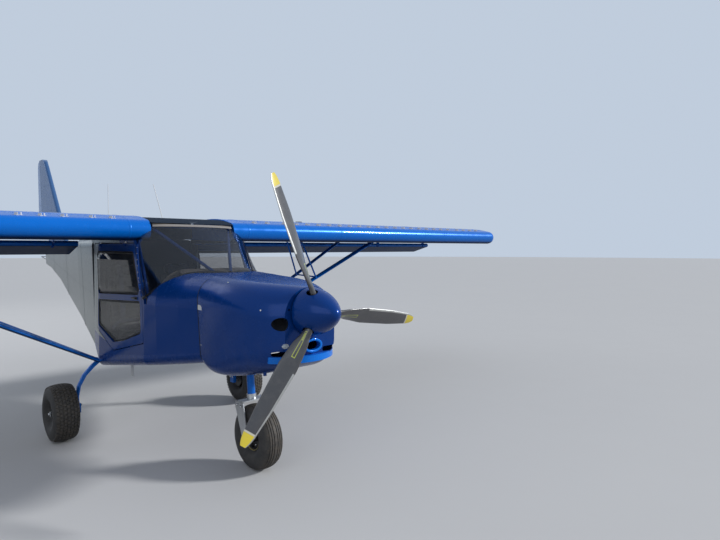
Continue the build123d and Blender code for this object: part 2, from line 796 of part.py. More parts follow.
with BuildPart() as flap_left:
    with BuildSketch(Plane.YZ.offset(flap_in_x)):
        with BuildLine():
            high = (at(flap_hinge_a), flap_hinge_z + flap_r)
            deep = (at(flap_hinge_a), flap_hinge_z - flap_r)
            ThreePointArc(deep, (at(flap_hinge_a - flap_r), flap_hinge_z), high)
            Line(high, (at(flap_te_a), flap_te_z + flap_te_t))
            Line((at(flap_te_a), flap_te_z + flap_te_t), (at(flap_te_a), flap_te_z))
            Line((at(flap_te_a), flap_te_z), deep)
        make_face()
    extrude(amount=flap_out_x - flap_in_x)
    for x in flap_brackets:
        with Locations((x, at(flap_hinge_a), flap_hinge_z)):
            Box(18, 2 * flap_r + 12, 80, mode=Mode.SUBTRACT)
    with BuildSketch(Plane.YZ.offset(flap_in_x + tail_skin)):
        with BuildLine():
            front, back = flap_hollow
            Polyline((at(front), flap_top(front) - flap_skin), (at(back), (flap_top(back) + flap_low(back)) / 2),
                     (at(front), flap_low(front) + flap_skin), close=True)
        make_face()
    extrude(amount=flap_out_x - flap_in_x - 2 * tail_skin, mode=Mode.SUBTRACT)
    for x in flap_brackets:
        rod((x - 12, at(flap_hinge_a), flap_hinge_z), (x + 12, at(flap_hinge_a), flap_hinge_z), flap_pin_r)
    with Locations((flap_in_x + 20, at(flap_hinge_a + 60), flap_hinge_z - 40)):
        Cylinder(drain_r, 60, mode=Mode.SUBTRACT)
deliver(flap_left, "flaperon_left")

with BuildPart() as flap_right:
    add(flap_left.part.mirror(Plane.YZ))
deliver(flap_right, "flaperon_right")

with BuildPart() as flap_hangers:
    for x in flap_brackets:
        with BuildSketch(Plane.YZ.offset(x - 3)):
            with BuildLine():
                Polyline((at(370), 1660), (at(452), 1660), (at(478), flap_hinge_z + 14),
                         (at(478), flap_hinge_z), (at(460), flap_hinge_z - 6), close=True)
            make_face()
            with Locations((at(flap_hinge_a), flap_hinge_z)):
                Circle(flap_pin_r + 10)
                Circle(flap_pin_r + pin_gap, mode=Mode.SUBTRACT)
        extrude(amount=6)
    add(wing_solid.part, mode=Mode.SUBTRACT)
    mirror(about=Plane.YZ)

# Struts
with BuildPart() as strut_front:
    for side in (-1, 1):
        blade_bar(mirrored_x(strut_foot, side), mirrored_x(strut_top, side), strut_chord, strut_t)
    add(wing_solid.part, mode=Mode.SUBTRACT)

with BuildPart() as strut_rear:
    for side in (-1, 1):
        blade_bar(mirrored_x(rear_strut_foot, side), mirrored_x(rear_strut_top, side),
                  rear_strut_chord, rear_strut_t)
    add(wing_solid.part, mode=Mode.SUBTRACT)

with BuildPart() as strut_jury:
    for side in (-1, 1):
        for start, end, radius in jury_rods:
            rod(mirrored_x(start, side), mirrored_x(end, side), radius)
    add(wing_solid.part, mode=Mode.SUBTRACT)
    add(strut_front.part, mode=Mode.SUBTRACT)
    add(strut_rear.part, mode=Mode.SUBTRACT)

with BuildPart() as struts:
    add(strut_front.part)
    add(strut_rear.part)
deliver(struts, "wing_struts")
deliver(strut_jury, "jury_struts")

foot_plate = (36.0, 140.0, 12.0)
with BuildPart() as strut_fittings:
    for side in (-1, 1):
        with Locations((side * 510, at(strut_foot[1] + 42), strut_foot[2] - 4)):
            Box(*foot_plate)
        with Locations((side * tie_down[0], at(tie_down[1]), tie_down[2] + 12)):
            Box(tie_down_t, 44, 60)
        with BuildSketch(Plane.YZ.offset(side * tie_down[0] - 10)):
            with Locations((at(tie_down[1]), tie_down[2])):
                Circle(tie_down_r)
        extrude(amount=20, mode=Mode.SUBTRACT)
    add(wing_solid.part, mode=Mode.SUBTRACT)
    add(cabin_outer.part, mode=Mode.SUBTRACT)
    add(strut_front.part, mode=Mode.SUBTRACT)
    add(strut_rear.part, mode=Mode.SUBTRACT)

with BuildPart() as wing_fittings:
    add(strut_fittings.part)
    add(flap_hangers.part)
deliver(wing_fittings, "wing_fittings")

# Tail
def behind(b):
    return at(tail_end_a + b)


with BuildPart() as stabiliser:
    half = stab_t / 2
    te_half = stab_te_t / 2
    nose_a = stab_le_a + stab_nose
    with BuildSketch(Plane.YZ):
        with BuildLine():
            ThreePointArc((at(nose_a), stab_z - half), (at(stab_le_a), stab_z), (at(nose_a), stab_z + half))
            Polyline((at(nose_a), stab_z + half), (at(stab_te_a), stab_z + te_half),
                     (at(stab_te_a), stab_z - te_half), (at(nose_a), stab_z - half))
        make_face()
    extrude(amount=stab_half, both=True)
    with BuildSketch(Plane.YZ):
        with BuildLine():
            Polyline((at(stab_le_a + 20), stab_z + 12), (at(nose_a + 2), stab_z + half - tail_skin),
                     (at(stab_te_a - tail_skin), stab_z + te_half - tail_skin),
                     (at(stab_te_a - tail_skin), stab_z - te_half + tail_skin),
                     (at(nose_a + 2), stab_z - half + tail_skin), (at(stab_le_a + 20), stab_z - 12), close=True)
        make_face()
    extrude(amount=stab_half - tail_skin, both=True, mode=Mode.SUBTRACT)
    with Locations((drain_x, at(stab_le_a + 170), stab_z - 30),
                   (-drain_x, at(stab_le_a + 170), stab_z - 30)):
        Cylinder(drain_r, 40, mode=Mode.SUBTRACT)
    for x in elevator_lugs:
        with BuildSketch(Plane.YZ.offset(x - 3)):
            with BuildLine():
                Polyline((at(stab_te_a - 2), stab_z - 14), (at(elevator_hinge_a), stab_z - lug_r),
                         (at(elevator_hinge_a), stab_z + lug_r), (at(stab_te_a - 2), stab_z + 14), close=True)
            make_face()
            with Locations((at(elevator_hinge_a), stab_z)):
                Circle(lug_r)
        extrude(amount=6)
        with BuildSketch(Plane.YZ.offset(x - 4)):
            with Locations((at(elevator_hinge_a), stab_z)):
                Circle(hinge_pin_r + pin_gap)
        extrude(amount=8, mode=Mode.SUBTRACT)
    add(tail_outer.part, mode=Mode.SUBTRACT)
deliver(stabiliser, "stabiliser")

# hollow of one elevator half: aft of the hinge, half height
elevator_hollow = [(34.0, 13.0), (elevator_chord - 90, 2.0), (elevator_chord - 90, -2.0), (34.0, -13.0)]

with BuildPart() as elevator:
    with BuildSketch(Plane.YZ):
        with BuildLine():
            high = (at(elevator_hinge_a), stab_z + elevator_r)
            deep = (at(elevator_hinge_a), stab_z - elevator_r)
            ThreePointArc(deep, (at(elevator_hinge_a - elevator_r), stab_z), high)
            Polyline(high, (at(elevator_te_a), stab_z + 3), (at(elevator_te_a), stab_z - 3), deep)
        make_face()
    extrude(amount=stab_half, both=True)
    with BuildSketch(Plane.XY.offset(stab_z - 50)):
        with BuildLine():
            Polyline((-150, at(elevator_hinge_a + 110)), (150, at(elevator_hinge_a + 110)),
                     (190, at(elevator_te_a + 65)), (-190, at(elevator_te_a + 65)), close=True)
        make_face()
    extrude(amount=100, mode=Mode.SUBTRACT)
    for x in elevator_lugs:
        with Locations((x, at(elevator_hinge_a - 4), stab_z)):
            Box(18, 48, 60, mode=Mode.SUBTRACT)
    for start_x in (elevator_root_x, -stab_half + tail_skin):
        with BuildSketch(Plane.YZ.offset(start_x)):
            with BuildLine():
                Polyline([(at(elevator_hinge_a + b), stab_z + up) for b, up in elevator_hollow], close=True)
            make_face()
        extrude(amount=stab_half - elevator_root_x - tail_skin, mode=Mode.SUBTRACT)
    with Locations((drain_x, at(elevator_hinge_a + 52), stab_z - 20),
                   (-drain_x, at(elevator_hinge_a + 52), stab_z - 20)):
        Cylinder(drain_r, 36, mode=Mode.SUBTRACT)
    for x in elevator_lugs:
        rod((x - 12, at(elevator_hinge_a), stab_z), (x + 12, at(elevator_hinge_a), stab_z), hinge_pin_r)
deliver(elevator, "elevator")

hinge_low = Vector(0, behind(rudder_low[0]), rudder_low[1])
hinge_high = Vector(0, behind(rudder_high[0]), rudder_high[1])
hinge_way = (hinge_high - hinge_low).normalized()

with BuildPart() as fin:
    with BuildSketch(Plane.YZ):
        with BuildLine():
            Polyline([(behind(b), z) for b, z in fin_outline], close=True)
        make_face()
    extrude(amount=fin_t / 2, both=True)
    fillet(fin.edges().sort_by(SortBy.LENGTH)[-2:], fin_t / 2 - 2)
    with BuildSketch(Plane.YZ):
        with BuildLine():
            Polyline([(behind(b), z) for b, z in fin_outline], close=True)
        make_face()
        offset(amount=-fin_edge, kind=Kind.INTERSECTION, mode=Mode.REPLACE)
    extrude(amount=fin_t / 2 - tail_skin, both=True, mode=Mode.SUBTRACT)
    with BuildSketch(Plane.YZ):
        with Locations((behind(-400), 1800)):
            Circle(drain_r)
    extrude(amount=40, mode=Mode.SUBTRACT)
    add(stabiliser.part, mode=Mode.SUBTRACT)
    with Locations((0, at(stab_le_a + stab_chord / 2), stab_z)):
        Box(80, stab_chord + 2, stab_t, mode=Mode.SUBTRACT)
    add(tail_outer.part, mode=Mode.SUBTRACT)
    for along in rudder_lugs:
        spot = hinge_low + hinge_way * along
        with BuildSketch(Plane(origin=spot - hinge_way * 3, x_dir=(1, 0, 0), z_dir=hinge_way)):
            Circle(lug_r)
            with Locations((0, -9)):
                Rectangle(2 * lug_r, 18)
        extrude(amount=6)
        with BuildSketch(Plane(origin=spot - hinge_way * 5, x_dir=(1, 0, 0), z_dir=hinge_way)):
            Circle(hinge_pin_r + pin_gap)
        extrude(amount=10, mode=Mode.SUBTRACT)
deliver(fin, "fin")

rudder_wedge = [
    # half thickness, behind the cone's end
    (-rudder_t / 2, 280.0), (rudder_t / 2, 280.0), (rudder_t / 2, 360.0), (3.0, 575.0), (-3.0, 575.0),
    (-rudder_t / 2, 360.0),
]
rudder_hollow = [(-15.0, 430.0), (15.0, 430.0), (5.0, 500.0), (-5.0, 500.0)]

with BuildPart() as rudder:
    with BuildSketch(Plane.YZ):
        with BuildLine():
            Polyline([(behind(b), z) for b, z in rudder_outline], close=True)
        make_face()
    extrude(amount=30, both=True)
    with BuildSketch(Plane.XY.offset(rudder_outline[0][1] - 16), mode=Mode.PRIVATE) as wedge:
        with BuildLine():
            Polyline([(x, behind(b)) for x, b in rudder_wedge], close=True)
        make_face()
    extrude(wedge.sketch, amount=1110, mode=Mode.INTERSECT)
    with BuildSketch(Plane.XY.offset(rudder_outline[0][1] + 14), mode=Mode.PRIVATE) as hollow:
        with BuildLine():
            Polyline([(x, behind(b)) for x, b in rudder_hollow], close=True)
        make_face()
    extrude(hollow.sketch, amount=1000, mode=Mode.SUBTRACT)
    with BuildSketch(Plane.YZ):
        with Locations((behind(460), 1760)):
            Circle(drain_r)
    extrude(amount=40, mode=Mode.SUBTRACT)
    for along in rudder_lugs:
        spot = hinge_low + hinge_way * along
        with BuildSketch(Plane(origin=spot - hinge_way * 9, x_dir=(1, 0, 0), z_dir=hinge_way)):
            with Locations((0, 5)):
                Rectangle(60, 42)
        extrude(amount=18, mode=Mode.SUBTRACT)
        for reach in (-14, 9):
            with BuildSketch(Plane(origin=spot + hinge_way * reach, x_dir=(1, 0, 0), z_dir=hinge_way)):
                with Locations((0, 8)):
                    Rectangle(10, 24)
            extrude(amount=5)
        rod(spot - hinge_way * 12, spot + hinge_way * 12, hinge_pin_r)
deliver(rudder, "rudder")

with BuildPart() as tail_skid:
    skid_end = (0, behind(skid_tip[0]), skid_tip[1])
    rod((0, behind(-2), skid_tip[1] + 4), skid_end, skid_r)
    rod((0, behind(-2), skid_tip[1] - 75), skid_end, skid_r)
    with Locations(skid_end):
        Sphere(skid_r)
    add(tail_outer.part, mode=Mode.SUBTRACT)
deliver(tail_skid, "tail_skid")

# Wheels
# half of a tyre's section: share of the height above the rim, share of the half width
tyre_points = [(0.0, 0.62), (0.06, 0.78), (0.26, 0.97), (0.58, 1.0), (0.84, 0.88), (0.955, 0.64), (1.0, 0.26)]


def tyre_profile(width, radius):
    right = [(rim_r + up * (radius - rim_r), out * width / 2) for up, out in tyre_points]
    left = [(r, -x) for r, x in reversed(right)]
    with BuildLine() as outline:
        Polyline(right + left, close=True)
    make_face(outline.edges())


hub_tube_r = 32.0


def rim_profile(width, bore, hub_out):
    half = width / 2 * tyre_points[0][1]
    web = half * 0.3
    with BuildLine() as outline:
        Polyline((bore, -hub_out), (hub_tube_r, -hub_out), (hub_tube_r + 2, -web), (rim_r - 10, -web),
                 (rim_r - 12, -half + 8), (rim_r - 1, -half - 6), (rim_r, -half), (rim_r, half),
                 (rim_r - 1, half + 6), (rim_r - 12, half - 8), (rim_r - 10, web),
                 (hub_tube_r + 2, web), (hub_tube_r, hub_out), (bore, hub_out), close=True)
    make_face(outline.edges())


main_x = track / 2
nose_axle = (0, at(-wheelbase), tyre_r)
wheel_specs = {
    # centre, tyre width, bore radius, hub half length
    "left": (Vector(main_x, at(0), tyre_r), main_tyre_w, axle_r + pin_gap, 62.0),
    "right": (Vector(-main_x, at(0), tyre_r), main_tyre_w, axle_r + pin_gap, 62.0),
    "nose": (Vector(*nose_axle), nose_tyre_w, nose_axle_r + pin_gap, 60.0),
}
disc_offset = 76.0
for label, (centre, width, bore, hub_out) in wheel_specs.items():
    with BuildPart() as tyre:
        with BuildSketch(Plane(origin=centre, x_dir=(0, 0, 1), z_dir=(0, -1, 0))):
            tyre_profile(width, tyre_r)
        revolve(axis=Axis(centre, (1, 0, 0)))
    deliver(tyre, "tyre_" + label)
    with BuildPart() as rim:
        with BuildSketch(Plane(origin=centre, x_dir=(0, 0, 1), z_dir=(0, -1, 0))):
            rim_profile(width, bore, hub_out)
        revolve(axis=Axis(centre, (1, 0, 0)))
        if label != "nose":
            inward = -1 if centre.X > 0 else 1
            with BuildSketch(Plane.YZ.offset(centre.X + inward * disc_offset)):
                with Locations((centre.Y, centre.Z)):
                    Circle(disc_r)
                    Circle(bore, mode=Mode.SUBTRACT)
            extrude(amount=inward * -disc_t)
            with BuildSketch(Plane.YZ.offset(centre.X + inward * (disc_offset - 2))):
                with Locations((centre.Y, centre.Z)):
                    Circle(hub_tube_r - 2)
                    Circle(bore, mode=Mode.SUBTRACT)
            extrude(amount=inward * -20)
    deliver(rim, "rim_" + label)

# Main gear legs
def leg_stations(side):
    places = [Vector(*mirrored_x(row, side)) for row in leg_path]
    last = len(places) - 1
    ways = [places[min(i + 1, last)] - places[max(i - 1, 0)] for i in range(last + 1)]
    return list(zip(places, ways, leg_path))


with BuildPart() as legs:
    for side in (-1, 1):
        sections = [blade_section(place, way, row[3], row[4]) for place, way, row in leg_stations(side)]
        loft(sections, ruled=True)
        with Locations((side * (axle_in_x - foot_block[0] / 2), at(0), leg_path[-1][2] - 10)):
            Box(*foot_block)
    add(cabin_outer.part, mode=Mode.SUBTRACT)
    add(strut_fittings.part, mode=Mode.SUBTRACT)
    add(strut_front.part, mode=Mode.SUBTRACT)
deliver(legs, "main_gear_legs")

with BuildPart() as main_axles:
    for side in (-1, 1):
        rod((side * axle_in_x, at(0), tyre_r), (side * axle_out_x, at(0), tyre_r), axle_r)
        rod((side * (axle_out_x - 9), at(0), tyre_r), (side * (axle_out_x + 6), at(0), tyre_r), axle_nut_r)
        for a, z, long, high in caliper_blocks:
            with Locations((side * (axle_in_x + caliper_t / 2), at(a), z)):
                Box(caliper_t, long, high)
    add(legs.part, mode=Mode.SUBTRACT)
deliver(main_axles, "main_axles")

# Nose gear
leg_hi = (0, at(nose_leg_top[0]), nose_leg_top[1])
leg_lo = (0, at(nose_leg_foot[0]), nose_leg_foot[1])
leg_way = (Vector(*leg_hi) - Vector(*leg_lo)).normalized()
with BuildPart() as nose_leg:
    rod(leg_lo, leg_hi, nose_leg_r)
deliver(nose_leg, "nose_leg")

bearing_t = 26.0
bearing_size = (92.0, 110.0)
with BuildPart() as nose_bearings:
    for along in (245.0, 350.0):
        spot = Vector(*leg_lo) + leg_way * along
        with BuildSketch(Plane(origin=spot, x_dir=(1, 0, 0), z_dir=leg_way)):
            with Locations((0, 15)):
                Rectangle(*bearing_size)
        extrude(amount=bearing_t)
    with BuildSketch(Plane(origin=Vector(*leg_lo) + leg_way * 100, x_dir=(1, 0, 0), z_dir=leg_way)):
        Circle(nose_leg_r + pin_gap)
    extrude(amount=400, mode=Mode.SUBTRACT)
    with Locations((0, at(firewall_a - firewall_t + 150), 800)):
        Box(400, 300, 500, mode=Mode.SUBTRACT)
deliver(nose_bearings, "nose_leg_bearings")

pin_start = fork_half + tow_neck
with BuildPart() as nose_axle_pin:
    axle_y_here = nose_axle[1]
    rod((-fork_half, axle_y_here, tyre_r), (fork_half, axle_y_here, tyre_r), nose_axle_r)
    for side in (-1, 1):
        rod((side * (fork_half - 2), axle_y_here, tyre_r), (side * (pin_start + 1), axle_y_here, tyre_r),
            tow_pin_r - 1)
        rod((side * pin_start, axle_y_here, tyre_r), (side * (pin_start + tow_pin_len), axle_y_here, tyre_r),
            tow_pin_r)
deliver(nose_axle_pin, "nose_axle")

# one side plate of the fork: a, z
fork_plate = [(-1440.0, 478.0), (-1536.0, 470.0), (-1592.0, 236.0), (-1588.0, 206.0), (-1560.0, 196.0),
              (-1530.0, 210.0), (-1432.0, 440.0)]
crown_t = 9.0
collar_t = 7.0
with BuildPart() as fork:
    with BuildSketch(Plane(origin=leg_lo, x_dir=(1, 0, 0), z_dir=leg_way)):
        with Locations((0, -12)):
            RectangleRounded(2 * fork_half - fork_t, 100, 12)
    extrude(amount=-crown_t)
    for side in (-1, 1):
        with BuildSketch(Plane.YZ.offset(side * (fork_half - fork_t / 2))):
            with BuildLine():
                Polyline([(at(a), z) for a, z in fork_plate], close=True)
            make_face()
        extrude(amount=fork_t / 2, both=True)
    with BuildSketch(Plane(origin=leg_lo, x_dir=(1, 0, 0), z_dir=leg_way)):
        Circle(nose_leg_r + collar_t)
        Circle(nose_leg_r, mode=Mode.SUBTRACT)
    extrude(amount=34)
    add(nose_axle_pin.part, mode=Mode.SUBTRACT)
deliver(fork, "nose_fork")


with BuildPart() as chin_intake:
    with BuildSketch(cross_plane(-2158)):
        with Locations((0, chin_z)):
            Ellipse(chin_w / 2 + chin_rim, chin_h / 2 + chin_rim - 4)
            Ellipse(chin_w / 2, chin_h / 2, mode=Mode.SUBTRACT)
    extrude(amount=30)
    fillet(chin_intake.faces().sort_by(Axis.Y)[0].edges(), 6)

# plan of the scoop's lip: half width and a of its outer and inner line
lip_out = (252.0, -2070.0, -2198.0)
lip_in = (240.0, -2040.0, -2150.0)
lip_low_z = 852.0
lip_h = 40.0
with BuildPart() as scoop_lip:
    with BuildSketch(Plane.XY.offset(lip_low_z)):
        with BuildLine():
            ThreePointArc((-lip_out[0], at(lip_out[1])), (0, at(lip_out[2])), (lip_out[0], at(lip_out[1])))
            Line((lip_out[0], at(lip_out[1])), (lip_in[0], at(lip_in[1])))
            ThreePointArc((lip_in[0], at(lip_in[1])), (0, at(lip_in[2])), (-lip_in[0], at(lip_in[1])))
            Line((-lip_in[0], at(lip_in[1])), (-lip_out[0], at(lip_out[1])))
        make_face()
    extrude(amount=lip_h)
    add(cowl_body.part, mode=Mode.SUBTRACT)
    add(chin_intake.part, mode=Mode.SUBTRACT)

with BuildPart() as intake_lips:
    add(chin_intake.part)
    add(scoop_lip.part)
deliver(intake_lips, "intake_lips")

# Doors
door_axis_x = 478.0
door_hinges_a = [-470.0, 90.0]
door_pin_r = 5.0
leaf_len = 30.0
hull_in_x = 430.0
hull_depth = 120.0
upper_pane_r = 40.0
lower_pane_r = 30.0
upper_glass_x = 466.0
lower_glass_x = 474.6
pane_shrink = 68.0


def outline_sketch(points, radius):
    with BuildLine() as outline:
        Polyline([(at(a), z) for a, z in points], close=True)
    make_face(outline.edges())
    fillet(vertices(), radius)


with BuildPart() as door_left:
    with BuildSketch(Plane.YZ.offset(hull_in_x)):
        outline_sketch(door_outline, 24)
    extrude(amount=hull_depth)
    add(cabin_outer.part, mode=Mode.INTERSECT)
    add(cabin_inner.part, mode=Mode.SUBTRACT)
    with BuildSketch(Plane.YZ.offset(hull_in_x)):
        outline_sketch(upper_pane, upper_pane_r)
    extrude(amount=hull_depth, mode=Mode.SUBTRACT)
    with BuildSketch(Plane.YZ.offset(hull_in_x)):
        outline_sketch(lower_pane, lower_pane_r)
    extrude(amount=hull_depth, mode=Mode.SUBTRACT)
    for a in door_hinges_a:
        leaf_a = a + leaf_len + 1
        rod((door_axis_x, at(leaf_a), door_hinge_z),
            (door_axis_x, at(leaf_a + leaf_len), door_hinge_z), door_pin_r)
        with Locations((door_axis_x - 4, at(leaf_a + leaf_len / 2), door_hinge_z - 20)):
            Box(12, leaf_len, 22)
        with Locations((door_axis_x - 1, at(leaf_a + leaf_len / 2), door_hinge_z - 6)):
            Box(6, leaf_len, 12)
deliver(door_left, "door_left")

with BuildPart() as door_right:
    add(door_left.part.mirror(Plane.YZ))
deliver(door_right, "door_right")

with BuildPart() as door_hinges:
    for side in (-1, 1):
        for a in door_hinges_a:
            rod((side * door_axis_x, at(a), door_hinge_z),
                (side * door_axis_x, at(a + leaf_len), door_hinge_z), door_pin_r)
            with Locations((side * (door_axis_x - 2), at(a + leaf_len / 2), door_hinge_z + 5)):
                Box(8, leaf_len, 9)
    add(side_left.part, mode=Mode.SUBTRACT)
    add(side_right.part, mode=Mode.SUBTRACT)
    add(wing_solid.part, mode=Mode.SUBTRACT)
deliver(door_hinges, "door_hinges")

with BuildPart() as glass_inner:
    with BuildSketch(Plane.YZ.offset(upper_glass_x)):
        outline_sketch(upper_pane, upper_pane_r)
        offset(amount=-glass_t, mode=Mode.REPLACE)
    with BuildSketch(Plane.YZ.offset(upper_glass_x + pane_bulge - glass_t)):
        outline_sketch(upper_pane, upper_pane_r)
        offset(amount=-pane_shrink, mode=Mode.REPLACE)
    loft(ruled=True)

with BuildPart() as upper_glass:
    with BuildSketch(Plane.YZ.offset(upper_glass_x)):
        outline_sketch(upper_pane, upper_pane_r)
    with BuildSketch(Plane.YZ.offset(upper_glass_x + pane_bulge)):
        outline_sketch(upper_pane, upper_pane_r)
        offset(amount=-pane_shrink, mode=Mode.REPLACE)
    loft(ruled=True)
    add(glass_inner.part, mode=Mode.SUBTRACT)

with BuildPart() as lower_glass:
    with BuildSketch(Plane.YZ.offset(lower_glass_x)):
        outline_sketch(lower_pane, lower_pane_r)
    extrude(amount=glass_t)

with BuildPart() as door_glass:
    add(upper_glass.part)
    add(lower_glass.part)
deliver(door_glass, "door_glass_left")

with BuildPart() as door_glass_right:
    add(door_glass.part.mirror(Plane.YZ))
deliver(door_glass_right, "door_glass_right")

# Cabin inside
seat_x = 232.0
seat_w = 416.0
seat_outline = [(-330.0, 850.0), (20.0, 812.0), (80.0, 850.0), (238.0, 1360.0), (190.0, 1376.0),
                (20.0, 892.0), (-10.0, 880.0), (-322.0, 912.0)]
rail_x = 150.0
rail_w = 24.0
rail_outline = [(-280.0, 602.0), (-20.0, 564.0), (-20.0, 848.0), (-280.0, 848.0)]

with BuildPart() as seats:
    for side in (-1, 1):
        with BuildSketch(Plane.YZ.offset(side * seat_x - seat_w / 2)):
            outline_sketch(seat_outline, 12)
        extrude(amount=seat_w)
        for x in (side * seat_x - rail_x, side * seat_x + rail_x):
            with BuildSketch(Plane.YZ.offset(x - rail_w / 2)):
                with BuildLine():
                    Polyline([(at(a), z) for a, z in rail_outline], close=True)
                make_face()
            extrude(amount=rail_w)
    add(floor_pan.part, mode=Mode.SUBTRACT)
deliver(seats, "seats")

stick_foot = (0.0, -560.0, 680.0)
stick_fork = (0.0, -520.0, 985.0)
stick_grip = (96.0, -505.0, 1130.0)
stick_r = 11.0
with BuildPart() as stick:
    rod(mirrored_x(stick_foot, 1), mirrored_x(stick_fork, 1), stick_r)
    for side in (-1, 1):
        rod(mirrored_x(stick_fork, 1), mirrored_x(stick_grip, side), stick_r - 2)
    with Locations((0, at(stick_foot[1]), stick_foot[2] - 14)):
        Box(80, 120, 40)
    with Locations(mirrored_x(stick_fork, 1)):
        Sphere(stick_r + 3)
    add(floor_pan.part, mode=Mode.SUBTRACT)

pedal_xs = [-330.0, -170.0, 170.0, 330.0]
pedal_a = -1210.0
pedal_z = 880.0
with BuildPart() as pedals:
    for x in pedal_xs:
        with Locations((x, at(pedal_a), pedal_z)):
            Box(70, 12, 90)
        with Locations((x, at(pedal_a - 4), pedal_z - 68)):
            Box(14, 12, 140)
    with Locations((0, at(pedal_a - 4), pedal_z - 94)):
        Box(720, 14, 14)
    add(floor_pan.part, mode=Mode.SUBTRACT)
    add(side_left.part, mode=Mode.SUBTRACT)
    add(side_right.part, mode=Mode.SUBTRACT)

with BuildPart() as controls:
    add(stick.part)
    add(pedals.part)
deliver(controls, "cabin_controls")

# Small pieces outside
roof_z = 1799.0
whip_foot_a = -40.0
whip_tip = (150.0, 2127.0)
deck_whip_a = 1330.0
deck_whip_z = 1672.0
deck_whip_top = (1324.0, 2229.0)
belly_blade = (-360.0, -230.0)
with BuildPart() as antennas:
    rod((0, at(whip_foot_a), roof_z), (0, at(whip_foot_a), roof_z + 7), 16)
    rod((0, at(whip_foot_a), roof_z + 5), (0, at(whip_tip[0]), whip_tip[1]), 3.5)
    rod((0, at(deck_whip_a), deck_whip_z), (0, at(deck_whip_top[0]), deck_whip_top[1]), 3)
    with BuildSketch(Plane.XY.offset(480)):
        with Locations((belly_blade[0], at(belly_blade[1]))):
            SlotOverall(44, 10, rotation=90)
    extrude(amount=160)
    add(skylight.part, mode=Mode.SUBTRACT)
    add(turtle_deck.part, mode=Mode.SUBTRACT)
    add(cabin_outer.part, mode=Mode.SUBTRACT)
deliver(antennas, "antennas")

cap_spot = (1430.0, -150.0, 1780.0)
cap_top_z = 1822.0
cap_r = 34.0
with BuildPart() as fuel_caps:
    for side in (-1, 1):
        rod(mirrored_x(cap_spot, side), (side * cap_spot[0], at(cap_spot[1]), cap_top_z), cap_r)
    add(wing_solid.part, mode=Mode.SUBTRACT)
deliver(fuel_caps, "fuel_caps")

pipe_end = (-196.0, -1950.0, 752.0)
pipe_top = (-196.0, -1940.0, 860.0)
pipe_r = 11.0
with BuildPart() as exhaust:
    rod(mirrored_x(pipe_end, 1), mirrored_x(pipe_top, 1), pipe_r)
    add(cowl_body.part, mode=Mode.SUBTRACT)
deliver(exhaust, "exhaust_stub")

with BuildPart() as brake_lines:
    for side in (-1, 1):
        path = [place + across_of(way) * (row[3] / 2 + brake_line_r + brake_clearance)
                for place, way, row in leg_stations(side)[:-1]]
        a, z, _, high = caliper_blocks[0]
        path.append(Vector(side * (axle_in_x + caliper_t / 2), at(a), z + high / 2 - 4))
        for start, end in zip(path, path[1:]):
            rod(start, end, brake_line_r)
        for place in path[1:-1]:
            with Locations(place):
                Sphere(brake_line_r)
    add(legs.part, mode=Mode.SUBTRACT)
    add(main_axles.part, mode=Mode.SUBTRACT)
    add(strut_fittings.part, mode=Mode.SUBTRACT)
    add(cabin_outer.part, mode=Mode.SUBTRACT)
deliver(brake_lines, "brake_lines")
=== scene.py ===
"""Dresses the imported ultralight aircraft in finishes, rivets, tabs, tread, trim, seats and a stage."""

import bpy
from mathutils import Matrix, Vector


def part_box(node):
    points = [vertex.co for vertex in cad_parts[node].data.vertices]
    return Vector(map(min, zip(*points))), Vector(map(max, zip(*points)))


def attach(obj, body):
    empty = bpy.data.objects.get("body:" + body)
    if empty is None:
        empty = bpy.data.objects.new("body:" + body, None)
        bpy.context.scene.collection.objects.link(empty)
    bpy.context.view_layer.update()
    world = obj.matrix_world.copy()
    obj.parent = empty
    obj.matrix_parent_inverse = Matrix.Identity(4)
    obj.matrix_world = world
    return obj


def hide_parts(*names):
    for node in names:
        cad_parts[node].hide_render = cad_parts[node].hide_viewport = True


bl_info = {
    "name": "Ultralight aircraft dressing",
    "version": (1, 0, 0),
    "blender": (4, 5, 0),
    "location": "View3D > Sidebar > Aircraft",
    "description": "Finishes, fasteners, tread, trim and seats of a two-seat ultralight aircraft",
    "category": "Object",
}

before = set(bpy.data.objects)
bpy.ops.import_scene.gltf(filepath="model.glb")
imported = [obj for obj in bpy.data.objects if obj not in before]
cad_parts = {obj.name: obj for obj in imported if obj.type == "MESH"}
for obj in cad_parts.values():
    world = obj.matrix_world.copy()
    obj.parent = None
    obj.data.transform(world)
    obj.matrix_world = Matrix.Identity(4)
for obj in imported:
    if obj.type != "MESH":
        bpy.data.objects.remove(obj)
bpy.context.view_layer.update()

import math

import bmesh
import bpy
from bpy.props import FloatProperty, FloatVectorProperty, IntProperty, PointerProperty
from bpy.types import Operator, Panel, PropertyGroup
from mathutils import Euler, Vector
from mathutils.bvhtree import BVHTree

# Row Y of the main wheel axle, from the frame; lengths named "aft" are measured from it.
wheel_low, wheel_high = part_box("tyre_left")
axle_y = (wheel_low.y + wheel_high.y) / 2
axle_z = (wheel_low.z + wheel_high.z) / 2


def spot(x, aft, up):
    return Vector((x, axle_y + aft, up))


# Mesh helpers

merge_distance = 1e-5


def solid_from(name, verts, faces):
    """A mesh object at the origin."""
    mesh = bpy.data.meshes.new(name)
    mesh.from_pydata([tuple(v) for v in verts], [], [tuple(f) for f in faces])
    mesh.validate()
    mesh.update()
    made = bpy.data.objects.new(name, mesh)
    bpy.context.scene.collection.objects.link(made)
    return made


def smooth_by_angle(mesh, degrees):
    """Smooth shading, with every edge sharper than the angle left as an edge."""
    mesh.polygons.foreach_set("use_smooth", [True] * len(mesh.polygons))
    shape = bmesh.new()
    shape.from_mesh(mesh)
    for edge in shape.edges:
        edge.smooth = len(edge.link_faces) == 2 and edge.calc_face_angle(0.0) < math.radians(degrees)
    shape.to_mesh(mesh)
    shape.free()


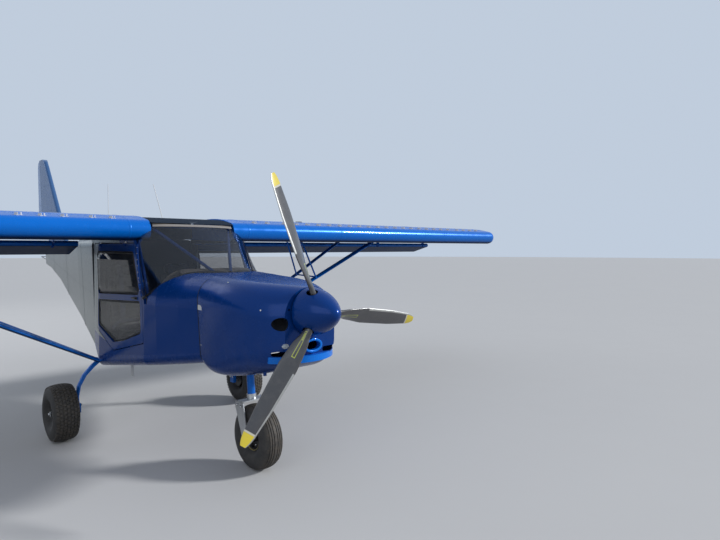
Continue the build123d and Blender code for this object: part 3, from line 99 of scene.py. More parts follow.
def outward(mesh):
    """Merges doubled corners and turns all faces outwards."""
    shape = bmesh.new()
    shape.from_mesh(mesh)
    bmesh.ops.remove_doubles(shape, verts=shape.verts, dist=merge_distance)
    bmesh.ops.recalc_face_normals(shape, faces=shape.faces)
    shape.to_mesh(mesh)
    shape.free()


def joined(name, parts, smooth=None):
    """One object of several (verts, faces) pairs; smooth is the angle in degrees that keeps an edge."""
    verts, faces = [], []
    for part_verts, part_faces in parts:
        start = len(verts)
        verts.extend(part_verts)
        faces.extend(tuple(start + i for i in face) for face in part_faces)
    made = solid_from(name, verts, faces)
    outward(made.data)
    if smooth is not None:
        smooth_by_angle(made.data, smooth)
    return made


def hand_over(piece, body, material, replaced=()):
    """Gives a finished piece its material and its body."""
    if material is not None:
        piece.data.materials.clear()
        piece.data.materials.append(material)
    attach(piece, body)
    if replaced:
        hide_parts(*replaced)
    return piece


def box_part(centre, size):
    """Corner points and faces of a block."""
    half = Vector(size) / 2
    corners = []
    for z in (-1, 1):
        for x, y in ((-1, -1), (1, -1), (1, 1), (-1, 1)):
            corners.append(Vector(centre) + Vector((x * half.x, y * half.y, z * half.z)))
    faces = [(3, 2, 1, 0), (4, 5, 6, 7), (0, 1, 5, 4), (1, 2, 6, 5), (2, 3, 7, 6), (3, 0, 4, 7)]
    return corners, faces


def tube_part(points, radius, sides=10):
    """A round bar along points, with its rings carried without twist."""
    points = [Vector(p) for p in points]
    verts, faces = [], []
    first = (points[1] - points[0]).normalized()
    across = first.orthogonal().normalized()
    for number, point in enumerate(points):
        before = points[max(number - 1, 0)]
        after = points[min(number + 1, len(points) - 1)]
        way = (after - before).normalized()
        across = (across - way * across.dot(way)).normalized()
        other = way.cross(across)
        size = radius[number] if isinstance(radius, (list, tuple)) else radius
        for side in range(sides):
            angle = 2 * math.pi * side / sides
            verts.append(point + (across * math.cos(angle) + other * math.sin(angle)) * size)
    for ring in range(len(points) - 1):
        for side in range(sides):
            a = ring * sides + side
            b = ring * sides + (side + 1) % sides
            faces.append((a, b, b + sides, a + sides))
    faces.append(tuple(reversed(range(sides))))
    faces.append(tuple(range((len(points) - 1) * sides, len(points) * sides)))
    return verts, faces


def turned_part(profile, centre, axis, steps, closed=True):
    """A body of revolution: profile holds (along the axis, radius) pairs, going round the section."""
    axis = Vector(axis).normalized()
    across = axis.orthogonal().normalized()
    other = axis.cross(across)
    verts, faces = [], []
    for step in range(steps):
        angle = 2 * math.pi * step / steps
        out = across * math.cos(angle) + other * math.sin(angle)
        verts.extend(Vector(centre) + axis * along + out * radius for along, radius in profile)
    count = len(profile)
    last = count if closed else count - 1
    for step in range(steps):
        here, there = step * count, ((step + 1) % steps) * count
        for i in range(last):
            j = (i + 1) % count
            faces.append((here + i, here + j, there + j, there + i))
    return verts, faces


def smooth_path(points, per_span):
    """Points along a curve that passes through the given ones."""
    points = [Vector(p) for p in points]
    padded = [points[0] * 2 - points[1]] + points + [points[-1] * 2 - points[-2]]
    path = []
    for i in range(1, len(padded) - 2):
        p0, p1, p2, p3 = padded[i - 1:i + 3]
        for step in range(per_span):
            t = step / per_span
            path.append(0.5 * (2 * p1 + (p2 - p0) * t + (2 * p0 - 5 * p1 + 4 * p2 - p3) * t ** 2
                               + (3 * p1 - p0 - 3 * p2 + p3) * t ** 3))
    path.append(points[-1])
    return path


def even_path(points, step, closed=False):
    """The same run of points, spaced evenly."""
    points = [Vector(p) for p in points]
    if closed:
        points.append(points[0])
    lengths = [0.0]
    for a, b in zip(points, points[1:]):
        lengths.append(lengths[-1] + (b - a).length)
    count = max(2, round(lengths[-1] / step))
    spaced = []
    span = 0
    for i in range(count + 1):
        goal = lengths[-1] * i / count
        while span < len(lengths) - 2 and lengths[span + 1] < goal:
            span += 1
        size = lengths[span + 1] - lengths[span]
        share = (goal - lengths[span]) / size if size else 0.0
        spaced.append(points[span].lerp(points[span + 1], share))
    return spaced[:-1] if closed else spaced


def skin_of(*names):
    """A search tree over the surfaces of CAD nodes."""
    verts, faces = [], []
    for name in names:
        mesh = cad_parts[name].data
        start = len(verts)
        verts.extend(v.co.copy() for v in mesh.vertices)
        faces.extend([start + i for i in p.vertices] for p in mesh.polygons)
    return BVHTree.FromPolygons(verts, faces)


def row_on(skin, start, end, ray, pitch):
    """Evenly spaced (point, outward normal) places on a skin, found by rays from a line beside it."""
    start, end, ray = Vector(start), Vector(end), Vector(ray).normalized()
    count = max(1, round((end - start).length / pitch))
    found = []
    for i in range(count + 1):
        place, normal, _, _ = skin.ray_cast(start.lerp(end, i / count), ray)
        if place is not None:
            found.append((place, -normal if normal.dot(ray) > 0 else normal))
    return found


# Section of a band across its run: shares of its width and of its height
band_section = ((-0.5, -0.3), (-0.5, 0.45), (-0.36, 1.0), (0.36, 1.0), (0.5, 0.45), (0.5, -0.3))


def band_part(path, skin, width, height, closed=False):
    """A flat strip with bevelled edges that follows a path and lies on a skin."""
    places = []
    for point in path:
        place, normal, _, _ = skin.find_nearest(point)
        if normal.dot(point - place) < 0 and (point - place).length > 1e-4:
            normal = -normal
        places.append((place, normal))
    verts, faces = [], []
    count = len(places)
    for i, (place, normal) in enumerate(places):
        before = places[(i - 1) % count if closed else max(i - 1, 0)][0]
        after = places[(i + 1) % count if closed else min(i + 1, count - 1)][0]
        way = (after - before).normalized()
        side = way.cross(normal).normalized()
        verts.extend(place + side * (across * width) + normal * (up * height)
                     for across, up in band_section)
    corners = len(band_section)
    for i in range(count if closed else count - 1):
        here, there = i * corners, ((i + 1) % count) * corners
        for k in range(corners):
            n = (k + 1) % corners
            faces.append((here + k, here + n, there + n, there + k))
    if not closed:
        faces.append(tuple(reversed(range(corners))))
        faces.append(tuple(range((count - 1) * corners, count * corners)))
    return verts, faces


# Shader helpers


def add_node(tree, kind, inputs=None, **settings):
    """A node with its settings; each input is a number, a colour or the socket that feeds it."""
    made = tree.nodes.new(kind)
    for key, value in settings.items():
        setattr(made, key, value)
    for key, value in (inputs or {}).items():
        socket = made.inputs[key]
        if isinstance(value, bpy.types.NodeSocket):
            tree.links.new(value, socket)
        else:
            socket.default_value = value
    return made


def rgba(colour):
    return (colour[0], colour[1], colour[2], 1.0)


def shaded(colour, share):
    return tuple(c * share for c in colour)


class Finish:
    """A Principled material with a short way to build its node graph."""

    def __init__(self, name, **constants):
        self.material = bpy.data.materials.new(name)
        self.material.use_nodes = True
        self.tree = self.material.node_tree
        self.tree.nodes.clear()
        self.out = add_node(self.tree, "ShaderNodeOutputMaterial")
        self.shader = add_node(self.tree, "ShaderNodeBsdfPrincipled")
        self.tree.links.new(self.shader.outputs[0], self.out.inputs[0])
        where = add_node(self.tree, "ShaderNodeTexCoord").outputs
        self.place, self.outwards = where["Object"], where["Normal"]
        for key, value in constants.items():
            socket = self.shader.inputs[key.replace("_", " ")]
            if hasattr(value, "__len__") and len(value) == 3 and len(socket.default_value) == 4:
                value = rgba(value)
            socket.default_value = value

    def link(self, socket, name):
        self.tree.links.new(socket, self.shader.inputs[name])

    def stretched(self, scale, turn=(0.0, 0.0, 0.0)):
        inputs = {"Vector": self.place, "Scale": scale, "Rotation": turn}
        return add_node(self.tree, "ShaderNodeMapping", inputs).outputs[0]

    def noise(self, scale, detail, rough=0.55, at=None):
        inputs = {"Vector": at or self.place, "Scale": scale, "Detail": detail, "Roughness": rough}
        return add_node(self.tree, "ShaderNodeTexNoise", inputs).outputs["Fac"]

    def waves(self, scale, at=None, bend=0.0):
        inputs = {"Vector": at or self.place, "Scale": scale, "Distortion": bend}
        return add_node(self.tree, "ShaderNodeTexWave", inputs).outputs["Fac"]

    def span(self, value, low, high, to_low=0.0, to_high=1.0):
        """The value between low and high, drawn out to between to_low and to_high and held there."""
        inputs = {0: value, 1: low, 2: high, 3: to_low, 4: to_high}
        return add_node(self.tree, "ShaderNodeMapRange", inputs).outputs[0]

    def maths(self, kind, a, b):
        return add_node(self.tree, "ShaderNodeMath", {0: a, 1: b}, operation=kind).outputs[0]

    def axis(self, letter):
        return add_node(self.tree, "ShaderNodeSeparateXYZ", {0: self.place}).outputs[letter]

    def facing(self, letter):
        return add_node(self.tree, "ShaderNodeSeparateXYZ", {0: self.outwards}).outputs[letter]

    def attribute(self, name):
        return add_node(self.tree, "ShaderNodeAttribute", attribute_name=name).outputs["Fac"]

    def colours(self, share, a, b):
        """The colour that lies between a and b by share."""
        mix = add_node(self.tree, "ShaderNodeMix", data_type="RGBA")
        for index, value in ((0, share), (6, a), (7, b)):
            if isinstance(value, bpy.types.NodeSocket):
                self.tree.links.new(value, mix.inputs[index])
            else:
                mix.inputs[index].default_value = rgba(value) if index else value
        return mix.outputs[2]

    def bump(self, height, strength, distance, under=None):
        inputs = {"Height": height, "Strength": strength, "Distance": distance}
        if under is not None:
            inputs["Normal"] = under
        return add_node(self.tree, "ShaderNodeBump", inputs).outputs[0]


def lacquer(name, colour, soil=0.35, metal=0.0, underside_shade=0.0):
    """Sprayed gloss paint on sheet metal: colour drift, orange peel, oil-canning, road film low down.

    The last argument gives faces that look down that share of painted shade, which also makes them rougher.
    """
    paint = Finish(name, Metallic=metal, Coat_Weight=0.12, Coat_Roughness=0.05, IOR=1.5,
                   Specular_IOR_Level=0.14)
    base = paint.colours(paint.noise(1.3, 2.0), shaded(colour, 0.82), colour)
    # Painted shade: faces that look down are darkened towards 12 % of the colour by the given share, and
    # made rougher
    underside_shade_mask = paint.span(paint.facing("Z"), -0.60, -0.85, 0.0, underside_shade)
    base = paint.colours(underside_shade_mask, base, shaded(colour, 0.12))
    low = paint.span(paint.axis("Z"), 0.45, 1.1, 1.0, 0.0)
    film = paint.maths("MULTIPLY", low, paint.span(paint.noise(9.0, 6.0, 0.7), 0.42, 0.75, 0.0, soil))
    specks = paint.span(paint.noise(160.0, 2.0), 0.70, 0.80, 0.0, 0.25)
    dust = paint.maths("MAXIMUM", film, paint.maths("MULTIPLY", specks, low))
    paint.link(paint.colours(dust, base, (0.16, 0.14, 0.11)), "Base Color")
    gloss = paint.span(paint.noise(14.0, 4.0), 0.3, 0.8, 0.20, 0.34)
    gloss = paint.maths("ADD", gloss, paint.maths("MULTIPLY", underside_shade_mask, 0.5))
    paint.link(paint.maths("ADD", gloss, paint.maths("MULTIPLY", dust, 0.5)), "Roughness")
    canning = paint.bump(paint.noise(4.5, 2.0), 0.25, 0.004)
    peel = paint.bump(paint.noise(420.0, 2.0), 0.05, 0.0006, canning)
    paint.link(peel, "Normal")
    return paint.material


def bare_sheet(name, colour, painted=None, border=(0.0, 0.0, 0.0)):
    """Bare rolled aluminium: grain along the roll, cloudy oxide, light oil-canning.

    With painted, the metal is bare only above and aft of a border: its slope, its height at the
    axle and where it starts, in metres.
    """
    sheet = Finish(name, Metallic=1.0, Specular_IOR_Level=0.14)
    grain = sheet.noise(26.0, 5.0, 0.6, sheet.stretched((22.0, 0.6, 22.0)))
    cloud = sheet.noise(3.2, 5.0, 0.65)
    base = sheet.colours(cloud, shaded(colour, 0.80), colour)
    stain = sheet.span(sheet.noise(7.0, 6.0, 0.75), 0.60, 0.80, 0.0, 0.5)
    base = sheet.colours(stain, base, (0.40, 0.39, 0.36))
    rough = sheet.maths("ADD", sheet.span(grain, 0.2, 0.8, 0.22, 0.36),
                        sheet.maths("MULTIPLY", stain, 0.25))
    normal = sheet.bump(sheet.noise(3.4, 2.0), 0.35, 0.006)
    normal = sheet.bump(grain, 0.06, 0.0005, normal)
    sheet.link(base, "Base Color")
    if painted is not None:
        aft = sheet.maths("SUBTRACT", sheet.axis("Y"), axle_y)
        slope, height, start = border
        edge = sheet.maths("ADD", sheet.maths("MULTIPLY", aft, slope), height)
        above = sheet.span(sheet.maths("SUBTRACT", sheet.axis("Z"), edge), -0.001, 0.001)
        behind = sheet.span(aft, start - 0.0005, start + 0.0005)
        bare = sheet.maths("MULTIPLY", above, behind)
        drift = sheet.colours(sheet.noise(1.3, 2.0), shaded(painted, 0.82), painted)
        sheet.link(sheet.colours(bare, drift, base), "Base Color")
        sheet.link(bare, "Metallic")
        gloss = sheet.span(sheet.noise(14.0, 4.0), 0.3, 0.8, 0.12, 0.26)
        mixed = sheet.maths("ADD", sheet.maths("MULTIPLY", bare, rough),
                            sheet.maths("MULTIPLY", sheet.maths("SUBTRACT", 1.0, bare), gloss))
        sheet.link(mixed, "Roughness")
    else:
        sheet.link(rough, "Roughness")
    sheet.link(normal, "Normal")
    return sheet.material


def worked_metal(name, colour, rough=0.32, scratch=0.4):
    """Machined or brushed fittings with fine scratches and cloudy darker patches."""
    metal = Finish(name, Metallic=1.0)
    fine = metal.noise(240.0, 3.0, 0.6, metal.stretched((1.0, 8.0, 1.0)))
    cloud = metal.noise(18.0, 4.0)
    metal.link(metal.colours(cloud, shaded(colour, 0.7), colour), "Base Color")
    metal.link(metal.span(fine, 0.25, 0.8, rough - 0.1, rough + 0.14), "Roughness")
    metal.link(metal.bump(fine, scratch * 0.2, 0.0004), "Normal")
    return metal.material


def moulded(name, colour, rough=0.5, grain=300.0, depth=0.25, wear=(0.25, 0.25, 0.26)):
    """Moulded plastic or powder coat with a fine grain and rubbed patches."""
    body = Finish(name, IOR=1.46)
    rub = body.span(body.noise(30.0, 5.0, 0.7), 0.62, 0.80, 0.0, 0.30)
    shade = body.colours(body.noise(5.0, 3.0), shaded(colour, 0.85), colour)
    body.link(body.colours(rub, shade, wear), "Base Color")
    body.link(body.span(body.noise(22.0, 4.0), 0.3, 0.8, rough - 0.08, rough + 0.14), "Roughness")
    body.link(body.bump(body.noise(grain, 2.0), depth, 0.0006), "Normal")
    return body.material


def tyre_rubber(name):
    """Weathered rubber: grey bloom on the walls and dry soil rubbed into the tread."""
    rubber = Finish(name, IOR=1.45)
    bloom = rubber.span(rubber.noise(16.0, 6.0, 0.7), 0.35, 0.75)
    base = rubber.colours(bloom, (0.030, 0.030, 0.031), (0.085, 0.082, 0.079))
    tread = rubber.attribute("tread")
    soil = rubber.span(rubber.noise(38.0, 6.0, 0.75), 0.40, 0.70, 0.05, 0.55)
    soil = rubber.maths("MULTIPLY", soil, tread)
    rubber.link(rubber.colours(soil, base, (0.190, 0.155, 0.115)), "Base Color")
    rubber.link(rubber.span(bloom, 0.0, 1.0, 0.58, 0.86), "Roughness")
    rubber.link(rubber.bump(rubber.noise(260.0, 4.0), 0.35, 0.0008), "Normal")
    return rubber.material


def glazing(name, tint, cover, shine):
    """Thin clear acrylic with faint wiping marks; shine, its IOR, makes up for how little it covers."""
    pane = Finish(name, Metallic=0.0, IOR=shine)
    wipe = pane.noise(9.0, 5.0, 0.7, pane.stretched((1.0, 3.0, 1.0), (0.4, 0.2, 0.9)))
    pane.link(pane.colours(wipe, shaded(tint, 0.85), tint), "Base Color")
    pane.link(pane.span(wipe, 0.3, 0.8, 0.02, 0.10), "Roughness")
    edge = add_node(pane.tree, "ShaderNodeLayerWeight", {"Blend": 0.35}).outputs["Facing"]
    rim = pane.span(edge, 0.6, 1.0, 0.0, 0.4)
    marks = pane.span(wipe, 0.55, 0.8, 0.0, 0.04)
    pane.link(pane.maths("ADD", pane.maths("ADD", rim, marks), cover), "Alpha")
    pane.material.surface_render_method = "DITHERED"
    return pane.material


def blade_finish(name):
    """Dark carbon blade: fine weave, worn bright guard on the leading edge, yellow tip, trim stripe."""
    blade = Finish(name, Coat_Weight=0.9, Coat_Roughness=0.22, IOR=1.5)
    span_share = blade.attribute("span_share")
    chord_share = blade.attribute("chord_share")
    face = blade.attribute("front_face")
    weave = blade.waves(220.0, blade.stretched((1.0, 1.0, 1.0), (0.0, 0.78, 0.0)), 0.6)
    cloud = blade.noise(26.0, 5.0, 0.7)
    colour = blade.colours(weave, (0.030, 0.030, 0.034), (0.055, 0.054, 0.058))
    colour = blade.colours(blade.span(cloud, 0.5, 0.8, 0.0, 0.25), colour, (0.16, 0.15, 0.14))
    guard_run = blade.span(span_share, 0.455, 0.460)
    guard = blade.maths("MULTIPLY", guard_run, blade.span(chord_share, 0.115, 0.125, 1.0, 0.0))
    tip = blade.span(span_share, 0.915, 0.919)
    chipped = blade.span(blade.noise(90.0, 4.0, 0.7), 0.64, 0.70, 1.0, 0.4)
    band = blade.maths("MULTIPLY", blade.span(span_share, 0.903, 0.906),
                       blade.span(span_share, 0.915, 0.919, 1.0, 0.0))

    def window(value, low, high, soft):
        rise = blade.span(value, low - soft, low + soft)
        return blade.maths("MULTIPLY", rise, blade.span(value, high - soft, high + soft, 1.0, 0.0))

    def patch_over(inner_end, outer_end, front, back):
        return blade.maths("MULTIPLY", window(span_share, inner_end, outer_end, 0.002),
                           window(chord_share, front, back, 0.012))

    outer = patch_over(0.165, 0.365, 0.40, 0.62)
    inner = patch_over(0.171, 0.359, 0.44, 0.58)
    patch = patch_over(0.180, 0.235, 0.46, 0.56)
    stripe = blade.maths("MAXIMUM", blade.maths("SUBTRACT", outer, inner), patch)
    stripe = blade.maths("MULTIPLY", stripe, face)
    colour = blade.colours(stripe, colour, (0.50, 0.56, 0.07))
    colour = blade.colours(band, colour, (0.62, 0.60, 0.50))
    colour = blade.colours(blade.maths("MULTIPLY", tip, chipped), colour, (0.78, 0.62, 0.03))
    bright = blade.colours(cloud, (0.38, 0.38, 0.36), (0.54, 0.54, 0.52))
    blade.link(blade.colours(guard, colour, bright), "Base Color")
    blade.link(guard, "Metallic")
    blade.link(blade.span(cloud, 0.3, 0.8, 0.30, 0.46), "Roughness")
    blade.link(blade.bump(weave, 0.05, 0.0003, blade.bump(guard, 0.4, 0.0006)), "Normal")
    return blade.material


def woven(name, dark, light, scale=520.0):
    """Upholstery cloth: crossed threads, pile sheen and faint soiling."""
    cloth = Finish(name, Sheen_Weight=0.35, Sheen_Roughness=0.5)
    warp = cloth.waves(scale, cloth.stretched((1.0, 0.0, 0.0)))
    weft = cloth.waves(scale, cloth.stretched((0.0, 0.7, 0.7), (0.0, 0.0, 0.0)))
    thread = cloth.maths("MULTIPLY", warp, weft)
    patchy = cloth.noise(12.0, 5.0, 0.7)
    colour = cloth.colours(thread, dark, light)
    soiled = cloth.span(patchy, 0.5, 0.8, 0.0, 0.4)
    cloth.link(cloth.colours(soiled, colour, shaded(light, 1.9)), "Base Color")
    cloth.link(cloth.span(patchy, 0.3, 0.8, 0.72, 0.95), "Roughness")
    cloth.link(cloth.bump(thread, 0.4, 0.0006), "Normal")
    return cloth.material


def dial_face(name):
    """Printed dial: black card with pale marks, all by the piece's own marks attribute."""
    card = Finish(name, Coat_Weight=0.8, Coat_Roughness=0.03)
    marks = card.attribute("mark")
    card.link(card.colours(marks, (0.006, 0.006, 0.007), (0.75, 0.76, 0.74)), "Base Color")
    card.link(card.span(card.noise(60.0, 3.0), 0.3, 0.8, 0.32, 0.45), "Roughness")
    card.link(card.bump(card.noise(400.0, 2.0), 0.05, 0.0003), "Normal")
    return card.material


def lamp_glass(name):
    """Ribbed lens of the landing lamp with a faint glow of its own."""
    glow = Finish(name, Emission_Strength=0.05, Coat_Weight=1.0, Coat_Roughness=0.02)
    ribs = glow.waves(60.0)
    glow.link(glow.colours(ribs, (0.30, 0.36, 0.42), (0.50, 0.56, 0.62)), "Base Color")
    glow.link(glow.colours(ribs, (0.4, 0.45, 0.5), (0.8, 0.85, 0.9)), "Emission Color")
    glow.link(glow.span(ribs, 0.0, 1.0, 0.08, 0.22), "Roughness")
    glow.link(glow.bump(ribs, 0.3, 0.001), "Normal")
    return glow.material


# Geometry Nodes helpers


def new_tree(name, sockets):
    """A node group that takes geometry and the named sizes, and the identifiers of its sockets."""
    tree = bpy.data.node_groups.new(name, "GeometryNodeTree")
    tree.interface.new_socket("Geometry", in_out="INPUT", socket_type="NodeSocketGeometry")
    names = {}
    for label, kind, default in sockets:
        item = tree.interface.new_socket(label, in_out="INPUT", socket_type=kind)
        if default is not None:
            item.default_value = default
        names[label] = item.identifier
    tree.interface.new_socket("Geometry", in_out="OUTPUT", socket_type="NodeSocketGeometry")
    return tree, names


def named_vector(tree, name):
    made = add_node(tree, "GeometryNodeInputNamedAttribute", data_type="FLOAT_VECTOR")
    made.inputs["Name"].default_value = name
    return made.outputs["Attribute"]


def times(tree, a, b):
    return add_node(tree, "ShaderNodeMath", {0: a, 1: b}, operation="MULTIPLY").outputs[0]


def triple(tree, **parts):
    """A vector of the given X, Y and Z, each a number or a socket."""
    return add_node(tree, "ShaderNodeCombineXYZ", parts).outputs[0]


def stood_on(tree, group_in, shape, aligned, smooth):
    """Instances shape on the incoming points, realizes them and gives them their material."""
    on_points = add_node(tree, "GeometryNodeInstanceOnPoints",
                         {"Points": group_in.outputs["Geometry"], "Instance": shape, "Rotation": aligned})
    real = add_node(tree, "GeometryNodeRealizeInstances", {"Geometry": on_points.outputs[0]})
    rounded = add_node(tree, "GeometryNodeSetShadeSmooth",
                       {"Geometry": real.outputs[0], "Shade Smooth": smooth})
    finished = add_node(tree, "GeometryNodeSetMaterial",
                        {"Geometry": rounded.outputs[0], "Material": group_in.outputs["Finish"]})
    group_out = add_node(tree, "NodeGroupOutput")
    tree.links.new(finished.outputs[0], group_out.inputs[0])


def facing_turn(tree, with_along):
    """Turns an instance so that its Z follows "facing", and its X "along" where that is asked for."""
    stand = add_node(tree, "FunctionNodeAlignRotationToVector", {"Vector": named_vector(tree, "facing")},
                     axis="Z")
    if not with_along:
        return stand.outputs[0]
    lie = add_node(tree, "FunctionNodeAlignRotationToVector",
                   {"Rotation": stand.outputs[0], "Vector": named_vector(tree, "along")},
                   axis="X", pivot_axis="Z")
    return lie.outputs[0]


def head_tree():
    """Rivet, screw and bolt heads: a low truncated cone on each point."""
    sizes = [("Radius", "NodeSocketFloat", 0.003), ("Height", "NodeSocketFloat", 0.0012),
             ("Top share", "NodeSocketFloat", 0.55), ("Sides", "NodeSocketInt", 7),
             ("Finish", "NodeSocketMaterial", None)]
    tree, names = new_tree("Fastener heads", sizes)
    group_in = add_node(tree, "NodeGroupInput")
    given = group_in.outputs
    cone = add_node(tree, "GeometryNodeMeshCone",
                    {"Vertices": given["Sides"], "Radius Bottom": given["Radius"],
                     "Radius Top": times(tree, given["Radius"], given["Top share"]),
                     "Depth": given["Height"]}, fill_type="NGON")
    stood_on(tree, group_in, cone.outputs["Mesh"], facing_turn(tree, False), True)
    return tree, names


def tab_tree():
    """Vortex tabs: a long and a short upright vane on a thin foot, toed in opposite ways."""
    sizes = [("Long vane", "NodeSocketFloat", 0.034), ("Short vane", "NodeSocketFloat", 0.026),
             ("Vane height", "NodeSocketFloat", 0.018), ("Sheet", "NodeSocketFloat", 0.0030),
             ("Toe angle", "NodeSocketFloat", math.radians(24.0)), ("Half gap", "NodeSocketFloat", 0.014),
             ("Finish", "NodeSocketMaterial", None)]
    tree, names = new_tree("Vortex tabs", sizes)
    group_in = add_node(tree, "NodeGroupInput")
    given = group_in.outputs
    parts = []
    for length_name, sign in (("Long vane", -1.0), ("Short vane", 1.0)):
        angle = triple(tree, Z=times(tree, given["Toe angle"], -sign))
        shift = times(tree, given["Half gap"], sign)
        middle = times(tree, given["Vane height"], 0.5)
        foot_width = times(tree, given["Vane height"], 1.1)
        upright = triple(tree, X=given["Sheet"], Y=given[length_name], Z=given["Vane height"])
        foot = triple(tree, X=foot_width, Y=given[length_name], Z=given["Sheet"])
        for size, lift in ((upright, middle), (foot, 0.0)):
            plate = add_node(tree, "GeometryNodeMeshCube", {"Size": size})
            moved = add_node(tree, "GeometryNodeTransform",
                             {"Geometry": plate.outputs["Mesh"], "Rotation": angle,
                              "Translation": triple(tree, X=shift, Z=lift)})
            parts.append(moved.outputs[0])
    join = add_node(tree, "GeometryNodeJoinGeometry")
    for part in parts:
        tree.links.new(part, join.inputs[0])
    stood_on(tree, group_in, join.outputs[0], facing_turn(tree, True), False)
    return tree, names


def block_tree():
    """Tread blocks: a truncated pyramid, turned to the tyre's run."""
    sizes = [("Block length", "NodeSocketFloat", 0.024), ("Block width", "NodeSocketFloat", 0.018),
             ("Block height", "NodeSocketFloat", 0.010), ("Finish", "NodeSocketMaterial", None)]
    tree, names = new_tree("Tread blocks", sizes)
    group_in = add_node(tree, "NodeGroupInput")
    given = group_in.outputs
    cone = add_node(tree, "GeometryNodeMeshCone",
                    {"Vertices": 4, "Radius Top": 0.58, "Radius Bottom": 0.7071, "Depth": 1.0},
                    fill_type="NGON")
    squared = add_node(tree, "GeometryNodeTransform",
                       {"Geometry": cone.outputs["Mesh"], "Rotation": (0.0, 0.0, math.pi / 4)})
    size = triple(tree, X=given["Block width"], Y=given["Block length"], Z=given["Block height"])
    sized = add_node(tree, "GeometryNodeTransform", {"Geometry": squared.outputs[0], "Scale": size})
    stood_on(tree, group_in, sized.outputs[0], facing_turn(tree, True), False)
    return tree, names


tree_makers = {"heads": head_tree, "tabs": tab_tree, "blocks": block_tree}
trees = {}


def scattered(name, kind, spots, material, **sizes):
    """Runs one of the trees on (point, normal[, along]) places and returns its result as a plain mesh."""
    if kind not in trees:
        trees[kind] = tree_makers[kind]()
    tree, names = trees[kind]
    holder = solid_from(name + "_places", [s[0] for s in spots], [])
    for label, index in (("facing", 1), ("along", 2)):
        if len(spots[0]) > index:
            layer = holder.data.attributes.new(label, "FLOAT_VECTOR", "POINT")
            layer.data.foreach_set("vector", [c for s in spots for c in s[index]])
    modifier = holder.modifiers.new("Places", "NODES")
    modifier.node_group = tree
    modifier[names["Finish"]] = material
    for label, value in sizes.items():
        modifier[names[label.replace("_", " ")]] = value
    bpy.context.view_layer.update()
    graph = bpy.context.evaluated_depsgraph_get()
    mesh = bpy.data.meshes.new_from_object(holder.evaluated_get(graph))
    mesh.name = name
    holder.modifiers.clear()
    bpy.data.objects.remove(holder)
    made = bpy.data.objects.new(name, mesh)
    bpy.context.scene.collection.objects.link(made)
    return made


def set_heads(name, body, spots, key, slot, **sizes):
    """Sets a row or ring of heads on their places and hands them over as one piece of a body."""
    hand_over(scattered(name, "heads", spots, finish(key), **sizes), body, None)


# Settings shown in the sidebar


class PaintSettings(PropertyGroup):
    # The blue paint as it looks in sunlight, lighter than the same paint on the body: painted light
    sunlit_wing_blue: FloatVectorProperty(name="Wing blue", description="Paint of the wings, struts and tips",
                                   subtype="COLOR", size=3, min=0, max=1, default=(0.001, 0.175, 0.720))
    # The same blue paint as it looks in shade, darker than on the wings: painted shade
    shaded_body_blue: FloatVectorProperty(name="Body blue", description="Paint of the nose, cabin sides and gear",
                                   subtype="COLOR", size=3, min=0, max=1, default=(0.001, 0.048, 0.260))
    sheet_metal: FloatVectorProperty(name="Bare sheet", description="Bare aluminium of the rear fuselage",
                                     subtype="COLOR", size=3, min=0, max=1, default=(0.22, 0.245, 0.245))
    tail_metal: FloatVectorProperty(name="Tail metal", description="Blue-grey metallic of the tail",
                                    subtype="COLOR", size=3, min=0, max=1, default=(0.07, 0.17, 0.38))
    pane_cover: FloatProperty(name="Pane cover", description="How much the glazing hides what is behind it",
                              subtype="FACTOR", min=0, max=1, default=0.28)


class DetailSettings(PropertyGroup):
    rivet_radius: FloatProperty(name="Rivet radius", description="Radius of a blind rivet's head",
                                unit="LENGTH", default=0.0032)
    rivet_height: FloatProperty(name="Rivet height", description="Height of a blind rivet's head",
                                unit="LENGTH", default=0.0013)
    wing_pitch: FloatProperty(name="Wing rivet pitch", description="Distance between rivets on the wing",
                              unit="LENGTH", default=0.045)
    rib_step: FloatProperty(name="Rib step", description="Distance between the wing ribs",
                            unit="LENGTH", default=0.331)
    tread_count: IntProperty(name="Tread blocks round", description="Blocks in one row round a main tyre",
                             default=46)
    tread_depth: FloatProperty(name="Tread depth", description="Height of a worn tread block",
                               unit="LENGTH", default=0.007)
    seam_width: FloatProperty(name="Lap width", description="Width of a skin lap strip",
                              unit="LENGTH", default=0.016)


class StageSettings(PropertyGroup):
    floor_radius: FloatProperty(name="Floor radius", description="Radius of the pale floor", unit="LENGTH",
                                default=90.0)
    floor_grey: FloatProperty(name="Floor grey", description="Brightness of the floor", subtype="FACTOR",
                              min=0, max=1, default=0.62)
    key_strength: FloatProperty(name="Key strength", description="Strength of the wide sun lamp",
                                default=2.7)
    fill_power: FloatProperty(name="Fill power", description="Power of each of the two soft area lights",
                              unit="POWER", default=110.0)


finishes = {}


